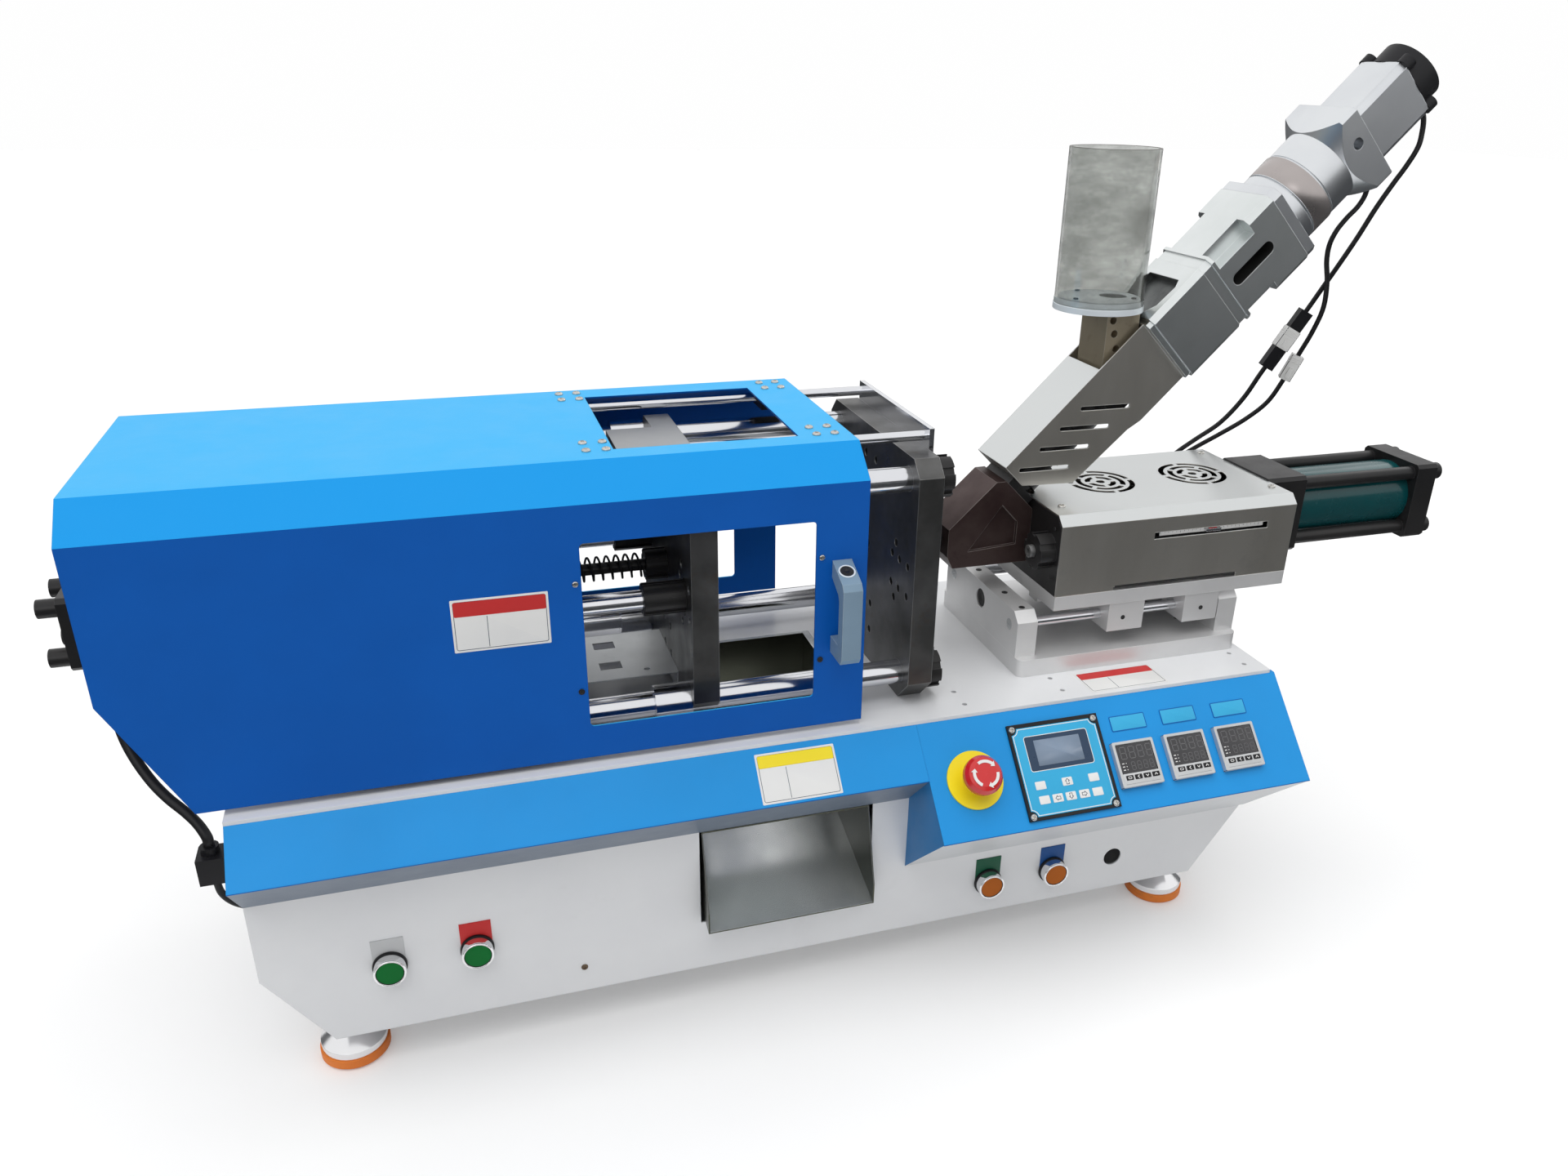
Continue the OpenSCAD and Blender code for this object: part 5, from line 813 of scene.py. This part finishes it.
labelValues = {
    "guardLabel": {"place": stand((248, 4, 421), *front), "size": (83, 50), "band": 14, "body": "guard",
                   "look": ("red_plastic", "plateRed")},
    "topLabel": {"place": stand((894, 20.6, 266), *above), "size": (93, 43), "band": 13, "body": "base",
                 "look": ("red_plastic", "plateRed")},
    "noseLabel": {"place": onSlope(512, 31.5, 0, noseValues), "size": (81, 50), "band": 12.5, "body": "base",
                  "look": ("yellow_plastic", "yellow_plastic")}}


def makeLabels(values):
    # plain cards with a coloured band, a thin border and one dividing line
    for name, v in values.items():
        place, body, band, margin = v["place"], v["body"], v["band"], 2.2
        (wide, high), (slotName, finish) = v["size"], v["look"]
        makePlate(name + "Card", place, roundRect(wide, high, 1.0), (0.02, 0.25, 0.05), "white_paint", body,
                  "printWhite")
        makePlate(name + "Band", place, roundRect(wide - 2 * margin, band, 1.6, 0, high / 2 - margin - band / 2),
                  (0.2, 0.32), slotName, body, finish)
        line = bmesh.new()
        border = roundRect(wide - 4, high - 4, 2.0)
        frameSlab(line, place, border, inset(border, 0.5), 0.2, 0.3)
        slab(line, place, roundRect(0.5, high - 3 * margin - band, 0.1, -wide * 0.14, -band / 2), 0.2, 0.3)
        makePiece(name + "Line", line, "black_plastic", body, "navyPrint")


steelHead, blackHead = ("polished_aluminium", "screwSteel"), ("black_oxide", "black_oxide")
holeHead, sheetHead = ("black_oxide", "darkHole"), ("galvanised_sheet", "galvanised_sheet")
# body, (slot, finish), (radius, height, recess), places
screwValues = {
    "guardTopScrews": ("guard", steelHead, (4.2, 2.6, "cross"),
                       [((cx + dx, cy + dy, 551.5), *above) for cx in (346, 562) for cy in (75, 257)
                        for dx in (-9, 9) for dy in (-12, 12)]),
    "guardFrontScrews": ("guard", steelHead, (2.9, 1.3, "cross"),
                         [((x, 4, z), *front) for x, z in ((313.5, 449.5), (541.7, 451))]),
    "guardBackScrews": ("guard", steelHead, (2.9, 1.3, "cross"),
                        [((x, 319, z), *back) for x in (313.5, 541.7) for z in (343.5, 450)]),
    "guardLowScrews": ("guard", blackHead, (2.9, 1.0, "hex"),
                       [((x, 4, z), *front) for x, z in ((312.9, 342.7), (541.9, 344.8))]),
    "coverTopScrews": ("carriage", steelHead, (4.2, 2.2, "cross"),
                       [((x, y, 444), *above) for x, y in ((1104, 225), (1106, 92), (840, 92), (840, 225))]),
    "cabinetScrew": ("base", ("polished_aluminium", "dullBronze"), (3.4, 1.6, "cross"), [((296.6, 0, 30), *front)]),
    "pullNuts": ("carriage", ("polished_aluminium", "boltGrey"), (7, 6, "hex"),
                 [((806, y, 400), *left) for y in (84, 224)]),
    "bearingScrews": ("carriage", holeHead, (2.6, 0.25, "hex"),
                      [((x, 59.5, 319.5), *front) for x in (912.5, 1012.5)]
                      + [((x, 248.5, 319.5), *back) for x in (912.5, 1012.5)]),
    "railEndScrews": ("base", sheetHead, (6.2, 0.5, "slot"),
                      [((784.5, y, 318), *left) for y in (80.5, 227.5)]
                      + [((1060.5, y, 318), *right) for y in (80.5, 227.5)]),
    # a flat near black hexagon: painted shade inside the rail end's hole
    "railEndHole": ("base", holeHead, (10.8, 0.3, "hex"), [((786.2, 154, 318), *left)]),
    "railTopScrews": ("base", blackHead, (3.4, 0.6, "hex"),
                      [((x, y, 337), *above) for x in (796.5, 1048.5) for y in (78, 120, 188, 230)]),
    "slideBaseScrews": ("base", blackHead, (4.2, 0.8, "hex"),
                        [((x, y, 286), *above) for x in (828, 1017) for y in (104, 204)]),
    "carriageScrews": ("carriage", blackHead, (2.2, 0.5, "hex"),
                       [((822, y, z), *left) for y in (70, 238) for z in (372, 428)])}


def makeScrews(values):
    for name, (body, (slotName, finish), head, places) in values.items():
        heads = bmesh.new()
        for i, (origin, normal, up) in enumerate(places):
            screwHead(heads, shift(stand(origin, normal, up), 0, 0, 0, 37 * i), *head)
        makePiece(name, heads, slotName, body, finish)


gaugeValues = {"x": (946, 1078), "z": 413.5, "y": 62.5, "high": 4.2, "pointer": 1012, "pointerSize": (10.5, 4.6),
               "marks": 27, "step": 5, "longEvery": 5, "tall": (2.4, 1.4), "lineWide": 0.35}


def makeGauge(v):
    # white scale behind the cover's slot and the red pointer that rides with the plunger
    x0, x1 = v["x"]
    place = stand(((x0 + x1) / 2, v["y"], v["z"]), *front)
    makePlate("gaugeScale", place, roundRect(x1 - x0, v["high"], 0.4), (0, 0.6, 0.1), "white_paint", "carriage",
              "printWhite")
    marks = bmesh.new()
    for i in range(v["marks"]):
        tall = v["tall"][1 if i % v["longEvery"] else 0]
        spot = ((i - v["marks"] // 2) * v["step"], v["high"] / 2 - 0.3 - tall / 2)
        slab(marks, place, roundRect(v["lineWide"], tall, 0.05, *spot), 0.55, 0.64)
    makePiece("gaugeMarks", marks, "black_plastic", "carriage")
    makePlate("gaugePointer", stand((v["pointer"], v["y"] - 1.2, v["z"]), *front), roundRect(*v["pointerSize"], 0.5),
              (0, 1.4, 0.3), "red_plastic", "plunger")


notchValues = {"x": (896, 1049), "z": 358.6, "y": 58, "high": 2.6}


def makeCoverNotch(v):
    # the long shallow notch in the cover's lower edge, open on the dark inside; its near black plate is painted shade
    # of that inside
    x0, x1 = v["x"]
    makePlate("coverNotch", stand(((x0 + x1) / 2, v["y"], v["z"]), *front), roundRect(x1 - x0, v["high"], 0.6),
              (-0.3, 0.1), "black_oxide", "carriage", "darkHole")


bandValues = {"start": 482.5, "length": 25, "radius": 45.15}


def makeGearBand(v):
    # the tinted ring in the middle of the gearbox
    place = onFeed(v["start"], 0, 0, (1, 0, 0), (0, 1, 0))
    band = bmesh.new()
    r, high = v["radius"], v["length"]
    turnedShape(band, place, [(r - 1, 0), (r - 0.4, 0), (r, 0.4), (r, high - 0.4), (r - 0.4, high), (r - 1, high)], 96)
    makePiece("gearBand", band, "tan_plate", "carriage", "gearTint", 60)


lipShadeValues = {"noseLipShade": {"x": (0, 643), "edge": (-48, 220), "way": (0.6926, -0.7215), "tuck": 0.8},
             "consoleLipShade": {"x": (643, 1073), "edge": (-92, 173), "way": (0.7148, -0.6993), "tuck": 0.8}}


def makeLipShade(values):
    # painted shade: a thin deep blue strip along the lower edge of the blue strip and of the console, where the lip is
    # in shade
    for name, v in values.items():
        (x0, x1), (y, z), (wy, wz), tuck = v["x"], v["edge"], v["way"], v["tuck"]
        place = stand(((x0 + x1) / 2, y + wy * tuck, z + wz * tuck), (0, wz, -wy), (0, -wy, -wz))
        makePlate(name, place, roundRect(x1 - x0, 2.0, 0.4), (-0.1, 0.5, 0.3), "blue_paint", "base", "deepBlue")


hopperValues = {"centre": (893, 154), "low": 640, "disc": (43.3, 14.6, 17), "discHigh": 13.2,
                "sleeve": (46.55, 47.2, 6), "rim": (45.9, 43.6, 159.9, 160.25), "reach": 36, "spots": (100, 200, 320),
                "screw": (2.6, 1.4)}


def makeHopperBase(v):
    # the aluminium disc that carries the clear tube, with the feed hole off its centre
    place = stand((*v["centre"], v["low"]), *above)
    outer, hole, shiftX = v["disc"]
    disc = bmesh.new()
    frameSlab(disc, place, ringPoints(outer, 48), ringPoints(hole, 48, shiftX), 0.4, v["discHigh"], 0.4)
    inner, sleeve, high = v["sleeve"]
    turnedShape(disc, place, [(inner, 0.1), (sleeve, 0.1), (sleeve, high), (inner, high + 0.4)], 72)
    makePiece("hopperBase", disc, "milled_aluminium", "carriage", "paleDisc")
    # a dark ring on the clear tube's top edge: painted shade for the dark look of the cut edge
    wide, bore, low, high = v["rim"]
    rim = bmesh.new()
    frameSlab(rim, place, ringPoints(wide, 72), ringPoints(bore, 72), low, high)
    makePiece("hopperRim", rim, "clear_plastic", "carriage", "tubeEdgeShade")
    heads = bmesh.new()
    for a in v["spots"]:
        screwHead(heads, shift(place, *polar(v["reach"], a), v["discHigh"], a), *v["screw"], "hex")
    makePiece("hopperScrews", heads, "black_oxide", "carriage")


shellValues = {"shells": ((motorRouteA[11], motorRouteA[13], 27, 52, 17.5, 14.5),
                          (motorRouteB[13], motorRouteB[14], 2, 33, 14.5, 12.5)),
               "ribs": 3, "ribStep": 2.4, "ribOut": 0.4, "latch": (5, 2.4, 0.6)}


def makeShells(v):
    # white connector bodies over the plugs, with grip ribs and a latch
    shells = bmesh.new()
    for start, end, near, far, wide, high in v["shells"]:
        way = (Vector(end) - Vector(start)).normalized()
        side = Vector((-way.y, way.x, 0)).normalized()
        place, long, out = stand(Vector(start) + way * near, way, side), far - near, 2 * v["ribOut"]
        slab(shells, place, roundRect(wide, high, 1.6), -0.2, long + 0.2, 0.8)
        for i in range(v["ribs"]):
            slab(shells, shift(place, 0, 0, 3 + v["ribStep"] * i), roundRect(wide + out, high + out, 1.8), 0, 1.1, 0.3)
        slab(shells, shift(place, 0, high / 2, long * 0.5), roundRect(*v["latch"]), 0, long * 0.4, 0.4)
    makePiece("connectorShells", shells, "black_plastic", "carriage", "printWhite")


slotShadeValues = {"along": (378, 434), "off": (-4, 10), "face": 45, "deep": 24, "housing": 281, "crown": 44, "pocket": 9,
               "dish": ((19, 11), (30, 24), (32, 50), (27, 59))}


def makeSlotAndPocketShade(v):
    # painted shade: near black walls in the adaptor's long window, and a dark skin in the housing's dished pocket,
    # where shade falls
    (s0, s1), (n0, n1) = v["along"], v["off"]
    slotShade = bmesh.new()
    for sign in (-1, 1):
        place = onFeed((s0 + s1) / 2, (n0 + n1) / 2, sign * v["face"], (0, 0, sign), (0, 1, 0))
        outline = roundRect(s1 - s0 + 0.04, n1 - n0 + 0.04, (n1 - n0) / 2 - 0.02, steps=8)
        frameSlab(slotShade, place, outline, inset(outline, 0.25), -v["deep"], -0.6)
    makePiece("slotShadeWalls", slotShade, "black_oxide", "carriage", "darkHole")
    skin = bmesh.new()
    place = onFeed(v["housing"], v["crown"], 0, (0, 1, 0), (1, 0, 0))
    outline = inset([*v["dish"], *((-x, y) for x, y in reversed(v["dish"]))], 0.05)
    slab(skin, place, outline, 0.05 - v["pocket"], 0.35 - v["pocket"])
    frameSlab(skin, place, outline, inset(outline, 0.3), 0.3 - v["pocket"], -0.4)
    makePiece("pocketShade", skin, "satin_aluminium", "carriage", "pocketShadeGrey")


nutValues = {"skin": 0.35, "radius": 16, "slots": 6, "slotHalf": 2.72, "slotFloor": 13.76, "x": 422, "z": 400,
             "nuts": ((66, 40, 10.4), (242, 40, 10.4), (154, 22, 8.4))}


def nutPoints(radius, half, floor, slots):
    # a round nut's outline with slots along its rim
    points = []
    edge = degrees(asin(half / radius))
    rim, gap = sqrt(radius * radius - half * half), 360 / slots - 2 * edge
    for i in range(slots):
        middle = 90 + 360 * i / slots
        c, d = polar(1, middle)
        points += [(c * r - d * t, d * r + c * t)
                   for r, t in ((rim, -half), (floor, -half), (floor, half), (rim, half))]
        points += [polar(radius, middle + edge + gap * k / 6) for k in range(1, 6)]
    return points


def makeNutSkins(v):
    skins = bmesh.new()
    r, skin = v["radius"], v["skin"]
    outline = nutPoints(r + skin, v["slotHalf"] - skin, v["slotFloor"] + skin, v["slots"])
    for y, long, bore in v["nuts"]:
        inner = [(bore * x / hypot(x, z), bore * z / hypot(x, z)) for x, z in outline]
        frameSlab(skins, stand((v["x"], y, v["z"]), *left), outline, inner, 0.05, long + 0.3, 0.6)
    makePiece("nutSkins", skins, "black_oxide", "clamp")


springValues = {"x": (320, 400), "centre": (154, 400), "radius": 11.8, "wire": 1.2, "turns": 8, "stroke": 20,
                "steps": 24, "sides": 8}


def makeSpring(v):
    # the return spring: wound from wire with closed ends
    (x0, x1), (cy, cz), wire = v["x"], v["centre"], v["wire"]
    spring = bmesh.new()
    steps, section, rings = v["turns"] * v["steps"], ringPoints(wire, v["sides"]), []
    for i in range(steps + 1):
        out = Vector((0, *polar(1, 360 * v["turns"] * i / steps)))
        middle = Vector((x0 + wire + (x1 - x0 - 2 * wire) * i / steps, cy, cz)) + out * v["radius"]
        rings.append([spring.verts.new(at(*(middle + Vector((x, 0, 0)) + out * away))) for x, away in section])
    loft(spring, rings)
    piece = makePiece("ejectorSpring", spring, "black_oxide", "ejector")
    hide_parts("ejector_spring")
    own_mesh(piece)


handleValues = {"x": 561.5, "point": (-10.5, 440.9), "slope": (-0.3976, 0.9176), "ring": (8.2, 6.6), "screw": 3.8}


def makeHandleScrew(v):
    # the sunk screw in the handle's upper end
    y, z = v["point"]
    ny, nz = v["slope"]
    place = stand((v["x"], y, z), (0, ny, nz), (0, nz, -ny))
    outer, inner = v["ring"]
    rim, head = bmesh.new(), bmesh.new()
    turnedShape(rim, place, [(inner, -0.2), (outer, -0.2), (outer, 0.3), (outer - 0.4, 0.55), (inner + 0.3, 0.55),
                             (inner, 0.3)])
    # the rim takes a pale bluish white: painted highlight on its lit edge
    makePiece("handleRim", rim, "pale_handle_paint", "guard", "paleDisc")
    # the dark disc under the screw: painted shade in the recess
    makePlate("handleHole", place, ringPoints(inner + 0.1), (-0.3, 0.12), "black_oxide", "guard", "darkHole")
    screwHead(head, shift(place, 0, 0, 0.1), v["screw"], 0.5, "hex")
    makePiece("handleScrew", head, "black_oxide", "guard")


makeDisplay(displayValues)
makeControllers(controllerValues)
makeNamePlates(namePlateValues)
makeStopArrows(stopValues)
makeButtonTrim(buttonValues, plateValues, ringValues)
print("console and buttons made")
makeLabels(labelValues)
makeScrews(screwValues)
makeGauge(gaugeValues)
makeCoverNotch(notchValues)
makeGearBand(bandValues)
makeLipShade(lipShadeValues)
print("plates, screws and gauge made")
makeHopperBase(hopperValues)
makeShells(shellValues)
makeSlotAndPocketShade(slotShadeValues)
makeNutSkins(nutValues)
makeSpring(springValues)
makeHandleScrew(handleValues)
print("hopper, connectors, nuts and handle made")
